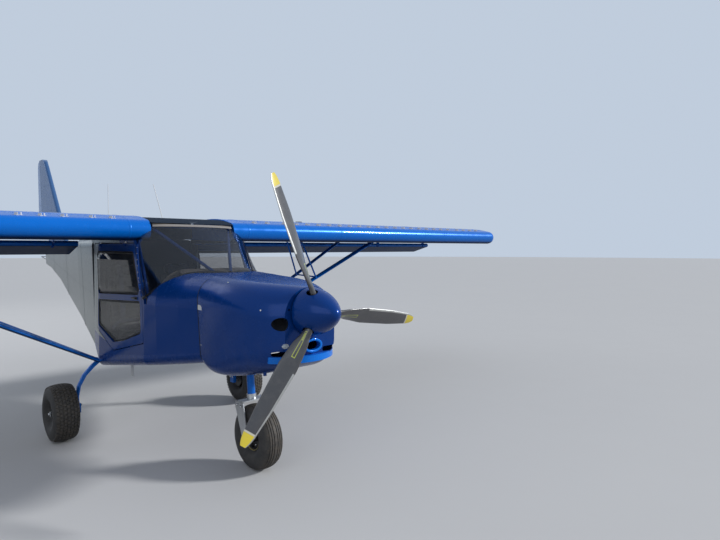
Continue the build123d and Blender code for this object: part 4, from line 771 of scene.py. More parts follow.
def finish(name):
    """Builds each material once, from the sidebar's colours."""
    if name in finishes:
        return finishes[name]
    paint = bpy.context.scene.aircraft_paint
    # wing holds the blue paint's sunlit look and body the same paint's shaded look: painted light and
    # painted shade
    wing, body, sheet = tuple(paint.sunlit_wing_blue), tuple(paint.shaded_body_blue), tuple(paint.sheet_metal)
    recipes = {
        # Wings, struts and tips: the sunlit look of the blue paint (painted light), with painted shade on
        # faces that look down
        "wing_paint": (lacquer, wing, 0.10, 0.15, 1.0),
        # Gear legs: the sunlit look of the blue paint, a painted highlight
        "leg_paint": (lacquer, wing, 0.20, 0.15),
        # Nose and cabin: the shaded look of the same blue paint (painted shade)
        "body_paint": (lacquer, body, 0.30, 0.20),
        # Intake lips: the sunlit look of the blue paint, a fifth lighter still: painted light
        "lip_paint": (lacquer, shaded(wing, 1.2), 0.20, 0.1),
        "tail_paint": (lacquer, tuple(paint.tail_metal), 0.05, 0.35),
        "rudder_paint": (lacquer, shaded(paint.tail_metal, 1.4), 0.05, 0.35),
        "bare_sheet": (bare_sheet, sheet),
        # The painted parts of these sheets take the shaded look of the blue paint: painted shade
        "side_sheet": (bare_sheet, sheet, body, (0.145, 0.771, -0.301)),
        "door_sheet": (bare_sheet, sheet, body, (0.0, 0.800, 0.196)),
        "clear_pane": (glazing, (0.008, 0.012, 0.024), paint.pane_cover, 1.9),
        "door_pane": (glazing, (0.030, 0.034, 0.038), paint.pane_cover, 2.8),
        "roof_pane": (glazing, (0.045, 0.062, 0.090), paint.pane_cover + 0.40, 1.0),
        "fork_metal": (worked_metal, (0.60, 0.61, 0.62), 0.36),
        "bright_steel": (worked_metal, (0.66, 0.66, 0.67), 0.24),
        "dark_steel": (worked_metal, (0.16, 0.16, 0.17), 0.42, 1.0),
        "engine_metal": (worked_metal, (0.20, 0.20, 0.20), 0.50, 1.0),
        "black_plastic": (moulded, (0.012, 0.012, 0.013), 0.42),
        "seal_rubber": (moulded, (0.008, 0.008, 0.009), 0.62, 500.0, 0.2, (0.03, 0.03, 0.03)),
        "panel_cover": (moulded, (0.150, 0.128, 0.112), 0.70, 700.0, 0.6, (0.24, 0.21, 0.19)),
        "cabin_trim": (moulded, (0.014, 0.017, 0.026), 0.75, 900.0, 0.7, (0.04, 0.04, 0.04)),
        "header_strip": (moulded, (0.30, 0.28, 0.26), 0.4, 600.0, 0.1, (0.20, 0.19, 0.18)),
        "rim_paint": (moulded, (0.050, 0.048, 0.046), 0.45, 300.0, 0.1, (0.20, 0.19, 0.17)),
        "ring_paint": (moulded, (0.33, 0.26, 0.07), 0.45, 300.0, 0.1, (0.12, 0.11, 0.10)),
        "white_trim": (moulded, (0.80, 0.81, 0.81), 0.38, 400.0, 0.08, (0.60, 0.60, 0.58)),
        "placard": (moulded, (0.78, 0.79, 0.78), 0.35, 600.0, 0.05, (0.55, 0.55, 0.55)),
        "seat_cloth": (woven, (0.006, 0.006, 0.008), (0.026, 0.027, 0.032)),
        "harness": (woven, (0.010, 0.016, 0.045), (0.030, 0.045, 0.110), 900.0),
        "tyre_rubber": (tyre_rubber,),
        "blade": (blade_finish,),
        "dial": (dial_face,),
        "lamp": (lamp_glass,),
    }
    maker, *values = recipes[name]
    finishes[name] = maker(name, *values)
    return finishes[name]


# Finish of each CAD node that keeps its own mesh
node_finishes = {
    # The blue paint comes as a sunlit copy and a shaded copy: painted light and painted shade
    "body_paint": ["cowl_upper", "cowl_lower", "top_deck", "floor_pan", "spinner", "cabin_frame",
                   "exhaust_stub"],
    "leg_paint": ["main_gear_legs", "nose_leg"],
    "door_sheet": ["door_left", "door_right"],
    "wing_paint": ["wings", "wing_tips", "flaperon_left", "flaperon_right", "wing_struts", "jury_struts",
                   "wing_fittings"],
    "side_sheet": ["side_panels"],
    "lip_paint": ["intake_lips"],
    "tail_paint": ["fin", "stabiliser", "elevator"],
    "rudder_paint": ["rudder"],
    "bare_sheet": ["tail_cone", "turtle_deck"],
    "cabin_trim": ["bulkheads"],
    "clear_pane": ["windshield"],
    "door_pane": ["door_glass_left", "door_glass_right"],
    "roof_pane": ["skylight"],
    "fork_metal": ["nose_fork", "main_axles", "nose_axle", "nose_leg_bearings"],
    "bright_steel": ["propeller_hub", "door_hinges"],
    "dark_steel": ["tail_skid"],
    "black_plastic": ["fuel_caps", "cabin_controls", "brake_lines"],
    "panel_cover": ["instrument_panel"],
    "rim_paint": ["rim_left", "rim_nose", "rim_right"],
    "white_trim": ["antennas"],
    "engine_metal": ["engine"],
}


class AIRCRAFT_OT_node_finishes(Operator):
    """Put a procedural finish on every construction node that keeps its own shape"""
    bl_idname = "aircraft.node_finishes"
    bl_label = "Node finishes"

    def execute(self, context):
        for key, names in node_finishes.items():
            material = finish(key)
            for name in names:
                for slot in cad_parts[name].material_slots:
                    slot.material = material
        return {"FINISHED"}


# The thrust line and the plane in which the blades turn, from the spinner and the axle
spinner_low, spinner_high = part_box("spinner")
thrust_z = (spinner_low.z + spinner_high.z) / 2
propeller_y = axle_y - 2.238

# Stations of a blade: distance from the axis, chord, thickness (metres) and pitch (degrees)
blade_stations = [(0.085, 0.052, 0.046, 62.0), (0.150, 0.058, 0.032, 54.0), (0.240, 0.096, 0.022, 43.0),
                  (0.380, 0.118, 0.016, 32.0), (0.620, 0.104, 0.011, 22.0), (0.800, 0.078, 0.008, 18.5),
                  (0.871, 0.052, 0.005, 17.0)]
blade_turns = (112.2, -7.8, -127.8)
tip_round = 0.036


def blade_mesh(turn):
    """One blade lofted through its stations, with each corner's share of span and chord and its face."""
    stations = blade_stations
    root_reach, tip_reach = stations[0][0], stations[-1][0]
    rings, around = 56, 32
    way = Vector((math.cos(turn), 0, math.sin(turn)))
    side = Vector((0, 1, 0)).cross(way)
    verts, faces, shares = [], [], []
    for ring in range(rings + 1):
        reach = root_reach + (tip_reach - root_reach) * ring / rings
        for low, high in zip(stations, stations[1:]):
            if reach <= high[0] + 1e-9:
                break
        t = (reach - low[0]) / (high[0] - low[0])
        ease = t * t * (3 - 2 * t) * 0.4 + t * 0.6
        chord, thick, pitch = (a + (b - a) * ease for a, b in zip(low[1:], high[1:]))
        tip_share = max(0.0, (reach - (tip_reach - tip_round)) / tip_round)
        chord *= math.sqrt(max(0.0, 1 - 0.55 * tip_share ** 2))
        angle = math.radians(pitch)
        chord_way = side * math.cos(angle) + Vector((0, 1, 0)) * math.sin(angle)
        up = way.cross(chord_way)
        for step in range(around):
            phase = 2 * math.pi * step / around
            u = 0.5 - 0.5 * math.cos(phase)
            camber = 0.25 * thick * math.sin(math.pi * u)
            skin = thick * 0.5 * math.sin(phase) * (1.25 - 0.5 * u)
            centre = Vector((0, propeller_y, thrust_z)) + way * reach
            verts.append(centre + chord_way * ((u - 0.5) * chord) - up * (skin + camber * 0.5))
            shares.append((reach / tip_reach, u, 1.0 if math.sin(phase) > 0 else 0.0))
    for ring in range(rings):
        for step in range(around):
            a = ring * around + step
            b = ring * around + (step + 1) % around
            faces.append((a, b, b + around, a + around))
    faces.append(tuple(range(around)))
    faces.append(tuple(rings * around + i for i in range(around)))
    return verts, faces, shares


class AIRCRAFT_OT_propeller(Operator):
    """Build the three twisted blades with their edge guards and painted tips"""
    bl_idname = "aircraft.propeller"
    bl_label = "Propeller blades"

    def execute(self, context):
        parts, shares = [], []
        for degrees in blade_turns:
            turn = math.radians(degrees)
            verts, faces, blade_shares = blade_mesh(turn)
            shares.extend(blade_shares)
            parts.append((verts, faces))
            way = Vector((math.cos(turn), 0, math.sin(turn)))
            hub = Vector((0, propeller_y, thrust_z))
            root, root_faces = tube_part([hub + way * 0.060, hub + way * 0.098], 0.018, 24)
            parts.append((root, root_faces))
            shares.extend([(0.1, 0.5, 0.0)] * len(root))
        verts = [v for part, _ in parts for v in part]
        faces = []
        start = 0
        for part_verts, part_faces in parts:
            faces.extend(tuple(start + i for i in face) for face in part_faces)
            start += len(part_verts)
        blades = solid_from("blades", verts, faces)
        for index, label in enumerate(("span_share", "chord_share", "front_face")):
            layer = blades.data.attributes.new(label, "FLOAT", "POINT")
            layer.data.foreach_set("value", [s[index] for s in shares])
        shape = bmesh.new()
        shape.from_mesh(blades.data)
        bmesh.ops.recalc_face_normals(shape, faces=shape.faces)
        shape.to_mesh(blades.data)
        shape.free()
        smooth_by_angle(blades.data, 50)
        hand_over(blades, "propeller", finish("blade"), ["propeller_blades"])
        return {"FINISHED"}


def tyre_piece(name, body, wheel, profile, ribs=None, block_rows=None):
    """A tyre turned from its half profile; block_rows adds tread blocks, ribs cuts grooves round it."""
    low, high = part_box(wheel)
    centre = (low + high) / 2
    half_profile = profile if ribs is None else grooved(profile, ribs)
    section = [(-x, r) for x, r in reversed(half_profile) if x > 0] + [(x, r) for x, r in half_profile]
    inner_r = section[0][1]
    section = section + [(section[-1][0] * 0.7, inner_r), (-section[-1][0] * 0.7, inner_r)]
    verts, faces = turned_part(section, centre, (1, 0, 0), 112)
    tyre = joined(name, [(verts, faces)])
    smooth_by_angle(tyre.data, 38)
    crown = max(r for _, r in half_profile)
    if block_rows:
        spots = []
        detail = bpy.context.scene.aircraft_detail
        for x, drop, tilt, offset in block_rows:
            for number in range(detail.tread_count):
                angle = 2 * math.pi * (number + offset) / detail.tread_count
                out = Vector((0, math.cos(angle), math.sin(angle)))
                run = Vector((0, -math.sin(angle), math.cos(angle)))
                lean = math.radians(tilt)
                facing = (out * math.cos(lean) + Vector((1, 0, 0)) * math.sin(lean)).normalized()
                base = centre + out * (crown - drop - 0.0031) + Vector((x, 0, 0))
                spots.append((base, facing, facing.cross(run).normalized() * -1))
        pitch = 2 * math.pi * crown / detail.tread_count
        blocks = scattered(name + "_blocks", "blocks", spots, finish("tyre_rubber"),
                           Block_length=pitch * 0.80, Block_width=0.0215,
                           Block_height=detail.tread_depth + 0.003)
        merged = bmesh.new()
        merged.from_mesh(tyre.data)
        merged.from_mesh(blocks.data)
        merged.to_mesh(tyre.data)
        merged.free()
        bpy.data.objects.remove(blocks)
    layer = tyre.data.attributes.new("tread", "FLOAT", "POINT")
    values = []
    for vertex in tyre.data.vertices:
        reach = math.hypot(vertex.co.y - centre.y, vertex.co.z - centre.z)
        values.append(min(1.0, max(0.15, (reach - crown + 0.030) / 0.022)))
    layer.data.foreach_set("value", values)
    hand_over(tyre, body, finish("tyre_rubber"), [wheel])
    return tyre


def grooved(profile, ribs):
    """The half profile with square grooves (place, half width, depth) let into its crown."""
    def height(x):
        for (x0, r0), (x1, r1) in zip(profile, profile[1:]):
            if x0 <= x <= x1 or x1 <= x <= x0:
                return r0 + (r1 - r0) * (x - x0) / (x1 - x0) if x1 != x0 else r0
        return profile[0][1]

    made = [profile[0]]
    for place, half, depth in ribs:
        inner, outer = place - half, place + half
        made.extend([(inner - 0.001, height(inner)), (inner, height(inner) - depth),
                     (outer, height(outer) - depth), (outer + 0.001, height(outer))])
    last = ribs[-1][0] + ribs[-1][1] + 0.001
    made.extend(p for p in profile[1:] if p[0] > last or p[1] < height(last) - 0.004)
    return made


# Half sections of the tyres, metres: (distance from the middle plane, drop below the crown) over
# the tread, then (distance from the middle plane, radius) at the bead
main_tread = [(0.0, 0.0), (0.030, 0.0012), (0.058, 0.0055), (0.076, 0.013), (0.089, 0.030),
              (0.0965, 0.055), (0.0975, 0.075), (0.093, 0.098)]
main_bead = [(0.080, 0.108), (0.074, 0.101), (0.070, 0.099), (0.066, 0.092)]
nose_tread = [(0.0, 0.0), (0.025, 0.0015), (0.045, 0.006), (0.060, 0.014), (0.072, 0.032),
              (0.0785, 0.056), (0.079, 0.078), (0.074, 0.104)]
nose_bead = [(0.062, 0.108), (0.056, 0.101), (0.052, 0.099), (0.048, 0.092)]

# Rows of tread blocks (place, drop, tilt in degrees, share of a pitch) and grooves of the nose tyre
# (place, half width, depth), metres
tread_rows = ((0.0, 0.0, 0.0, 0.0), (0.024, 0.0010, 4.0, 0.5), (0.048, 0.0042, 10.0, 0.0),
              (0.070, 0.0108, 24.0, 0.5))
nose_grooves = [(0.013, 0.0022, 0.006), (0.030, 0.0022, 0.006), (0.047, 0.0020, 0.005)]


class AIRCRAFT_OT_tyres(Operator):
    """Turn the tyres with their block and rib tread"""
    bl_idname = "aircraft.tyres"
    bl_label = "Tyres"

    def execute(self, context):
        radius = axle_z
        depth = context.scene.aircraft_detail.tread_depth
        crown = radius - depth
        main = [(x, crown - drop) for x, drop in main_tread] + main_bead
        rows = []
        for x, drop, tilt, offset in tread_rows:
            rows.append((x, drop, tilt, offset))
            if x:
                rows.append((-x, drop, -tilt, offset))
        for side in ("left", "right"):
            tyre_piece("tyre_tread_" + side, "wheel_" + side, "tyre_" + side, main, None, rows)
        nose = [(x, radius - drop) for x, drop in nose_tread] + nose_bead
        tyre_piece("tyre_ribs_nose", "nose_wheel", "tyre_nose", nose, nose_grooves)
        return {"FINISHED"}


def ring_spots(centre, axis, radius, count, phase):
    """Places round a circle, all facing along its axis."""
    axis = Vector(axis).normalized()
    across = axis.orthogonal().normalized()
    other = axis.cross(across)
    found = []
    for i in range(count):
        angle = phase + 2 * math.pi * i / count
        out = across * math.cos(angle) + other * math.sin(angle)
        found.append((Vector(centre) + out * radius, axis))
    return found


class AIRCRAFT_OT_wheel_fittings(Operator):
    """Add rim bolts, valves and the painted ring of the nose rim"""
    bl_idname = "aircraft.wheel_fittings"
    bl_label = "Wheel fittings"

    def execute(self, context):
        for wheel, body in (("left", "wheel_left"), ("right", "wheel_right"), ("nose", "nose_wheel")):
            tyre_low, tyre_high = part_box("tyre_" + wheel)
            middle = (tyre_low + tyre_high) / 2
            half_web = (0.095 if wheel != "nose" else 0.075) * 0.62 * 0.3
            parts, spots, rings = [], [], []
            for side in (-1, 1):
                face_x = middle.x + side * half_web
                ring = [(0.0380, 0.0835), (0.0415, 0.0905), (0.0500, 0.0905), (0.0485, 0.0850)]
                rings.append(turned_part(ring, middle, (side, 0, 0), 64))
                face_centre = (face_x + side * 0.0030, middle.y, middle.z)
                spots += ring_spots(face_centre, (side, 0, 0), 0.058, 6, 0.3)
            valve_x = middle.x + (1 if wheel != "right" else -1) * (half_web + 0.001)
            valve = Vector((valve_x, middle.y + 0.045, middle.z + 0.052))
            out = Vector((math.copysign(1.0, valve_x - middle.x), 0, 0))
            parts.append(tube_part([valve, valve + out * 0.022, valve + out * 0.024, valve + out * 0.034],
                                   [0.0042, 0.0042, 0.0052, 0.0050], 10))
            set_heads("rim_bolts_" + wheel, body, spots, "bright_steel", "machined_metal",
                      Radius=0.0085, Height=0.0070, Top_share=0.86, Sides=6)
            if wheel == "nose":
                hand_over(joined("rim_rings_nose", rings, 40), body, finish("ring_paint"))
            stem = joined("valve_" + wheel, parts, 40)
            hand_over(stem, body, finish("black_plastic"))
        return {"FINISHED"}


def wing_stations(context):
    """Rib places outboard of the wing root, both sides."""
    _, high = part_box("wings")
    step = context.scene.aircraft_detail.rib_step
    first, last = 0.375, high.x - 0.02
    count = int((last - first) / step) + 1
    return [side * (first + i * (last - first) / (count - 1)) for side in (-1, 1) for i in range(count)]


# Rivet rows of the cabin side, each between two places (aft of the axle, up), metres
side_rows = (((-1.39, 0.80), (-1.39, 1.26)), ((-0.845, 0.72), (-0.845, 1.14)),
             ((-1.37, 0.825), (-0.30, 0.665)), ((-0.28, 0.665), (0.33, 0.715)))

# Ribs of the fin (height, front end, rear end) and of the tail plane (distance from the middle), metres
fin_ribs = ((1.72, 3.0, 3.85), (2.05, 3.25, 3.90), (2.40, 3.52, 3.94), (2.70, 3.74, 3.97))
tail_ribs = (-1.24, -0.95, -0.65, -0.35, 0.35, 0.65, 0.95, 1.24)


class AIRCRAFT_OT_rivets(Operator):
    """Set the rivet rows of the wings, fuselage and tail"""
    bl_idname = "aircraft.rivets"
    bl_label = "Rivet rows"

    def execute(self, context):
        detail = context.scene.aircraft_detail
        heads = {"Radius": detail.rivet_radius, "Height": detail.rivet_height, "Sides": 6}
        pitch = detail.wing_pitch
        wings = skin_of("wings")
        down, up = Vector((0, 0, -1)), Vector((0, 0, 1))
        spots = []
        for x in wing_stations(context):
            spots += row_on(wings, spot(x, -0.53, 2.2), spot(x, 0.48, 2.2), down, pitch)
            spots += row_on(wings, spot(x, -0.54, 1.0), spot(x, 0.48, 1.0), up, pitch)
        for aft in (-0.50, -0.24, 0.13, 0.475):
            for side in (-1, 1):
                for z, ray in ((2.2, down), (1.0, up)):
                    spots += row_on(wings, spot(side * 0.38, aft, z), spot(side * 4.31, aft, z), ray, pitch)
        set_heads("wing_rivets", "airframe", spots, "wing_paint", "bright_blue_paint", **heads)
        tail = skin_of("tail_cone")
        sides = skin_of("side_panels")
        spots, blue_spots = [], []
        frames = (0.385, 0.80, 1.25, 1.72, 2.22, 2.75, 3.30, 3.56)
        for side in (-1, 1):
            ray = Vector((-side, 0, 0))
            for aft in frames:
                low = 0.70 + (aft - 0.35) * 0.215 if aft < 2.3 else 1.17 + (aft - 2.3) * 0.14
                spots += row_on(tail, spot(side * 0.8, aft, low), spot(side * 0.8, aft, 1.56), ray, 0.038)
            for rise in (0.0, 0.5, 1.0):
                for a, b in zip(frames, frames[1:]):
                    start_low, end_low = (0.72 + (t - 0.35) * 0.205 for t in (a, b))
                    start = spot(side * 0.8, a, start_low + (1.555 - start_low) * rise)
                    end = spot(side * 0.8, b, end_low + (1.545 - end_low) * rise)
                    spots += row_on(tail, start, end, ray, 0.040)
            for start, end in side_rows:
                blue_spots += row_on(sides, spot(side * 0.8, *start), spot(side * 0.8, *end), ray, 0.045)
            spots += row_on(sides, spot(side * 0.8, 0.325, 0.76), spot(side * 0.8, 0.325, 1.56), ray, 0.040)
        for aft in frames[:-1]:
            spots += row_on(tail, spot(-0.40, aft, 0.2), spot(0.40, aft, 0.2), up, 0.045)
        deck = skin_of("turtle_deck")
        for aft in (0.55, 0.95, 1.30, 1.65):
            spots += row_on(deck, spot(-0.36, aft, 2.2), spot(0.36, aft, 2.2), down, 0.040)
        set_heads("fuselage_rivets", "airframe", spots, "bare_sheet", "bare_metal", **heads)
        set_heads("side_rivets", "airframe", blue_spots, "body_paint", "blue_paint", **heads)
        self.tail_rows(heads)
        return {"FINISHED"}

    def tail_rows(self, heads):
        """Rows of the stabiliser, fin, elevator, rudder and flaperons."""
        both_sides = ((2.6, Vector((0, 0, -1))), (0.9, Vector((0, 0, 1))))
        groups = []
        stab = skin_of("stabiliser")
        spots = []
        for x in tail_ribs:
            for height, ray in both_sides:
                spots += row_on(stab, spot(x, 3.16, height), spot(x, 3.60, height), ray, 0.040)
        for height, ray in both_sides:
            spots += row_on(stab, spot(-1.25, 3.585, height), spot(1.25, 3.585, height), ray, 0.040)
        fin = skin_of("fin")
        for side in (-1, 1):
            ray = Vector((-side, 0, 0))
            x = side * 0.5
            for height, front, back in fin_ribs:
                spots += row_on(fin, spot(x, front, height), spot(x, back, height), ray, 0.040)
            spots += row_on(fin, spot(x, 3.845, 1.72), spot(x, 3.955, 2.74), ray, 0.040)
        groups.append(("tail_rivets", "airframe", spots))
        lift = skin_of("elevator")
        spots = []
        for x in tail_ribs:
            for height, ray in both_sides:
                spots += row_on(lift, spot(x, 3.66, height), spot(x, 3.91, height), ray, 0.040)
        groups.append(("elevator_rivets", "elevator_body", spots))
        rudder = skin_of("rudder")
        spots = []
        for side in (-1, 1):
            ray = Vector((-side, 0, 0))
            x = side * 0.5
            for height in (1.85, 2.15, 2.45, 2.70):
                spots += row_on(rudder, spot(x, 3.98, height), spot(x, 4.13, height), ray, 0.035)
        groups.append(("rudder_rivets", "rudder_body", spots))
        for name, body, places in groups:
            set_heads(name, body, places, "tail_paint", "bare_metal", **heads)
        for name, body in (("flaperon_left", "flap_l"), ("flaperon_right", "flap_r")):
            low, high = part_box(name)
            skin = skin_of(name)
            spots = []
            for i in range(13):
                x = low.x + 0.02 + (high.x - low.x - 0.04) * i / 12
                for height, ray in both_sides:
                    front, back = Vector((x, low.y + 0.03, height)), Vector((x, high.y - 0.015, height))
                    spots += row_on(skin, front, back, ray, 0.040)
            set_heads(name + "_rivets", body, spots, "wing_paint", "bright_blue_paint", **heads)


# Vortex tabs of one wing, metres: the first pair, the usual step, and the two wider steps by pair
first_tab, tab_step, tab_pairs = 0.6155, 0.1392, 25
odd_tab_steps = {1: 0.187, 20: 0.191}


class AIRCRAFT_OT_vortex_tabs(Operator):
    """Stand the pairs of white vortex tabs along the leading edges"""
    bl_idname = "aircraft.vortex_tabs"
    bl_label = "Vortex tabs"

    def execute(self, context):
        wings = skin_of("wings", "wing_tips")
        spots = []
        for side in (-1, 1):
            x = first_tab
            for pair in range(tab_pairs):
                place, normal, _, _ = wings.ray_cast(spot(side * x, -0.577, 2.2), Vector((0, 0, -1)))
                if place is not None:
                    spots.append((place + normal * 0.0005, normal, Vector((1, 0, 0))))
                x += odd_tab_steps.get(pair, tab_step)
        tabs = scattered("vortex_tabs", "tabs", spots, finish("white_trim"))
        hand_over(tabs, "airframe", None)
        return {"FINISHED"}


# A way round the wing's section (aft of the axle, up), metres
round_wing = ((0.49, 1.70), (0.2, 1.80), (-0.15, 1.86), (-0.45, 1.84), (-0.60, 1.78), (-0.68, 1.69),
              (-0.60, 1.60), (-0.45, 1.58), (0.0, 1.59), (0.49, 1.61))


class AIRCRAFT_OT_skin_laps(Operator):
    """Lay the lap strips of the wing and rear fuselage skins"""
    bl_idname = "aircraft.skin_laps"
    bl_label = "Skin laps"

    def execute(self, context):
        width = context.scene.aircraft_detail.seam_width
        wings = skin_of("wings")
        parts = []
        for side in (-1, 1):
            for x in (0.515, 1.60, 2.92):
                path = [spot(side * x, a, z) for a, z in round_wing]
                path = even_path(smooth_path(path, 6), 0.02)
                parts.append(band_part(path, wings, width, 0.0012))
            for aft, height in ((-0.475, 1.84), (-0.475, 1.57)):
                path = even_path([spot(side * 0.365, aft, height), spot(side * 4.325, aft, height)], 0.08)
                parts.append(band_part(path, wings, width, 0.0012))
        laps = joined("wing_laps", parts, 40)
        hand_over(laps, "airframe", finish("wing_paint"))
        tail = skin_of("tail_cone")
        parts = []
        for aft in (0.80, 1.72, 2.75):
            low = 0.60 + (aft - 0.35) * 0.235
            half = [(0.30, 1.75), (0.5, 1.60), (0.55, 1.35), (0.50, low + 0.05), (0.30, low - 0.1)]
            path = [spot(-x, aft, z) for x, z in half] + [spot(0.0, aft, low - 0.15)]
            path += [spot(x, aft, z) for x, z in reversed(half)]
            path = even_path(smooth_path(path, 6), 0.02)
            parts.append(band_part(path, tail, width * 1.6, 0.0012))
        strips = joined("fuselage_laps", parts, 40)
        hand_over(strips, "airframe", finish("bare_sheet"))
        return {"FINISHED"}


# Foot of the windscreen, from the middle of the nose round to the door post, metres: half width, aft, up
screen_foot = [(0.0, -1.205, 1.363), (0.10, -1.17, 1.360), (0.20, -1.12, 1.355), (0.30, -1.05, 1.335),
               (0.40, -0.98, 1.286), (0.45, -0.92, 1.246), (0.495, -0.815, 1.175)]

# Rear edge of the windscreen along the door post, in the same measures
screen_edge = [(0.478, -0.655, 1.575), (0.488, -0.70, 1.42), (0.494, -0.755, 1.28), (0.499, -0.800, 1.19)]

# Corners of the door panes (aft of the axle, up), metres
upper_pane = [(-0.719, 1.203), (-0.672, 1.295), (-0.580, 1.508), (0.218, 1.508), (0.180, 1.163)]
lower_pane = [(-0.745, 0.922), (-0.726, 1.085), (-0.722, 1.139), (0.178, 1.093), (0.172, 0.892),
              (-0.188, 0.789), (-0.412, 0.827)]


class AIRCRAFT_OT_glazing_trim(Operator):
    """Fit the seals, edge strips, header strip and screws of the windscreen and doors"""
    bl_idname = "aircraft.glazing_trim"
    bl_label = "Glazing trim"

    def execute(self, context):
        screen = skin_of("windshield")
        path = [spot(-x, a, z) for x, a, z in reversed(screen_foot)]
        path += [spot(x, a, z) for x, a, z in screen_foot[1:]]
        path = even_path(smooth_path(path, 8), 0.012)
        seal = joined("screen_seal", [band_part(path, skin_of("windshield", "top_deck"), 0.018, 0.005)], 50)
        hand_over(seal, "airframe", finish("seal_rubber"))
        aft = Vector((0, 1, 0))
        top = [screen.ray_cast(spot(0.34 * i / 12, -1.4, 1.722), aft)[0] for i in range(-12, 13)]
        top = [place for place in top if place is not None]
        header = joined("header_strip", [band_part(top, screen, 0.030, 0.003)], 50)
        hand_over(header, "airframe", finish("header_strip"))
        strips, screws = [], []
        for side in (-1, 1):
            edge = [spot(side * x, a, z) for x, a, z in screen_edge]
            edge = even_path(smooth_path(edge, 8), 0.012)
            strips.append(band_part(edge, screen, 0.020, 0.004))
            for i in range(2, len(edge) - 1, 4):
                place, normal, _, _ = screen.find_nearest(edge[i])
                outwards = normal if normal.x * side > 0 else -normal
                screws.append((place + outwards * 0.0045, outwards))
        pillars = joined("screen_edge_strips", strips, 50)
        hand_over(pillars, "airframe", finish("body_paint"))
        set_heads("screen_screws", "airframe", screws, "bright_steel", "machined_metal",
                  Radius=0.0045, Height=0.0022, Sides=8)
        self.door_trim("left", 1)
        self.door_trim("right", -1)
        return {"FINISHED"}

    def door_trim(self, label, side):
        """Pane seals and the latch of one door."""
        glass = skin_of("door_glass_" + label)
        door = skin_of("door_" + label)
        parts = []
        for outline in (upper_pane, lower_pane):
            path = [spot(side * 0.60, a, z) for a, z in outline]
            path = even_path(path, 0.012, closed=True)
            flat = []
            for point in path:
                place, _, _, _ = glass.ray_cast(point, Vector((-side, 0, 0)))
                flat.append(place if place is not None else glass.find_nearest(point)[0])
            raised = [p + Vector((side * 0.003, 0, 0)) for p in flat]
            parts.append(band_part(raised, glass, 0.016, 0.004, True))
        seals = joined("pane_seals_" + label, parts, 50)
        body = "door_l" if side > 0 else "door_r"
        hand_over(seals, body, finish("seal_rubber"))
        base, _, _, _ = door.ray_cast(spot(side * 0.8, -0.655, 1.166), Vector((-side, 0, 0)))
        latch = [box_part(base + Vector((side * 0.002, 0, 0)), (0.006, 0.060, 0.022)),
                 box_part(base + Vector((side * 0.010, 0.016, 0)), (0.012, 0.070, 0.012))]
        handle = joined("door_latch_" + label, latch)
        bevel = handle.modifiers.new("Edges", "BEVEL")
        bevel.width = 0.0025
        bevel.segments = 2
        hand_over(handle, body, finish("black_plastic"))


class AIRCRAFT_OT_nose_details(Operator):
    """Add cowl fasteners, the landing lamp and the blank plate"""
    bl_idname = "aircraft.nose_details"
    bl_label = "Nose details"

    def execute(self, context):
        cowl = skin_of("cowl_upper", "cowl_lower")
        spots = []
        for side in (-1, 1):
            for x, a, z in ((0.274, -2.025, 1.172), (0.162, -2.158, 1.177), (0.354, -1.430, 0.897),
                            (0.274, -1.648, 1.322)):
                place, normal, _, _ = cowl.find_nearest(spot(side * x, a, z))
                spots.append((place, normal if normal.dot(place - spot(0, a, 1.0)) > 0 else -normal))
        set_heads("cowl_fasteners", "airframe", spots, "bright_steel", "machined_metal",
                  Radius=0.0065, Height=0.0026, Sides=12, Top_share=0.75)
        lamp_place, _, _, _ = cowl.ray_cast(spot(-0.190, -2.6, 0.962), Vector((0, 1, 0)))
        rim = [(-0.004, 0.0), (-0.004, 0.023), (0.003, 0.024), (0.005, 0.022), (0.004, 0.019),
               (0.008, 0.012), (0.010, 0.0)]
        verts, faces = turned_part(rim, (0, 0, 0), (0, -1, 0), 40, closed=False)
        lens = [Vector((v.x, v.y, v.z * 0.62)) + lamp_place for v in verts]
        lamp = joined("landing_lamp", [(lens, faces)], 40)
        hand_over(lamp, "airframe", finish("lamp"))
        place, _, _, _ = cowl.ray_cast(spot(-0.8, -1.444, 1.150), Vector((1, 0, 0)))
        plate = joined("blank_plate", [box_part(place + Vector((-0.0006, 0, 0)), (0.0016, 0.052, 0.034))])
        bevel = plate.modifiers.new("Edges", "BEVEL")
        bevel.width = 0.0005
        hand_over(plate, "airframe", finish("placard"))
        return {"FINISHED"}


pad_voxel = 0.011


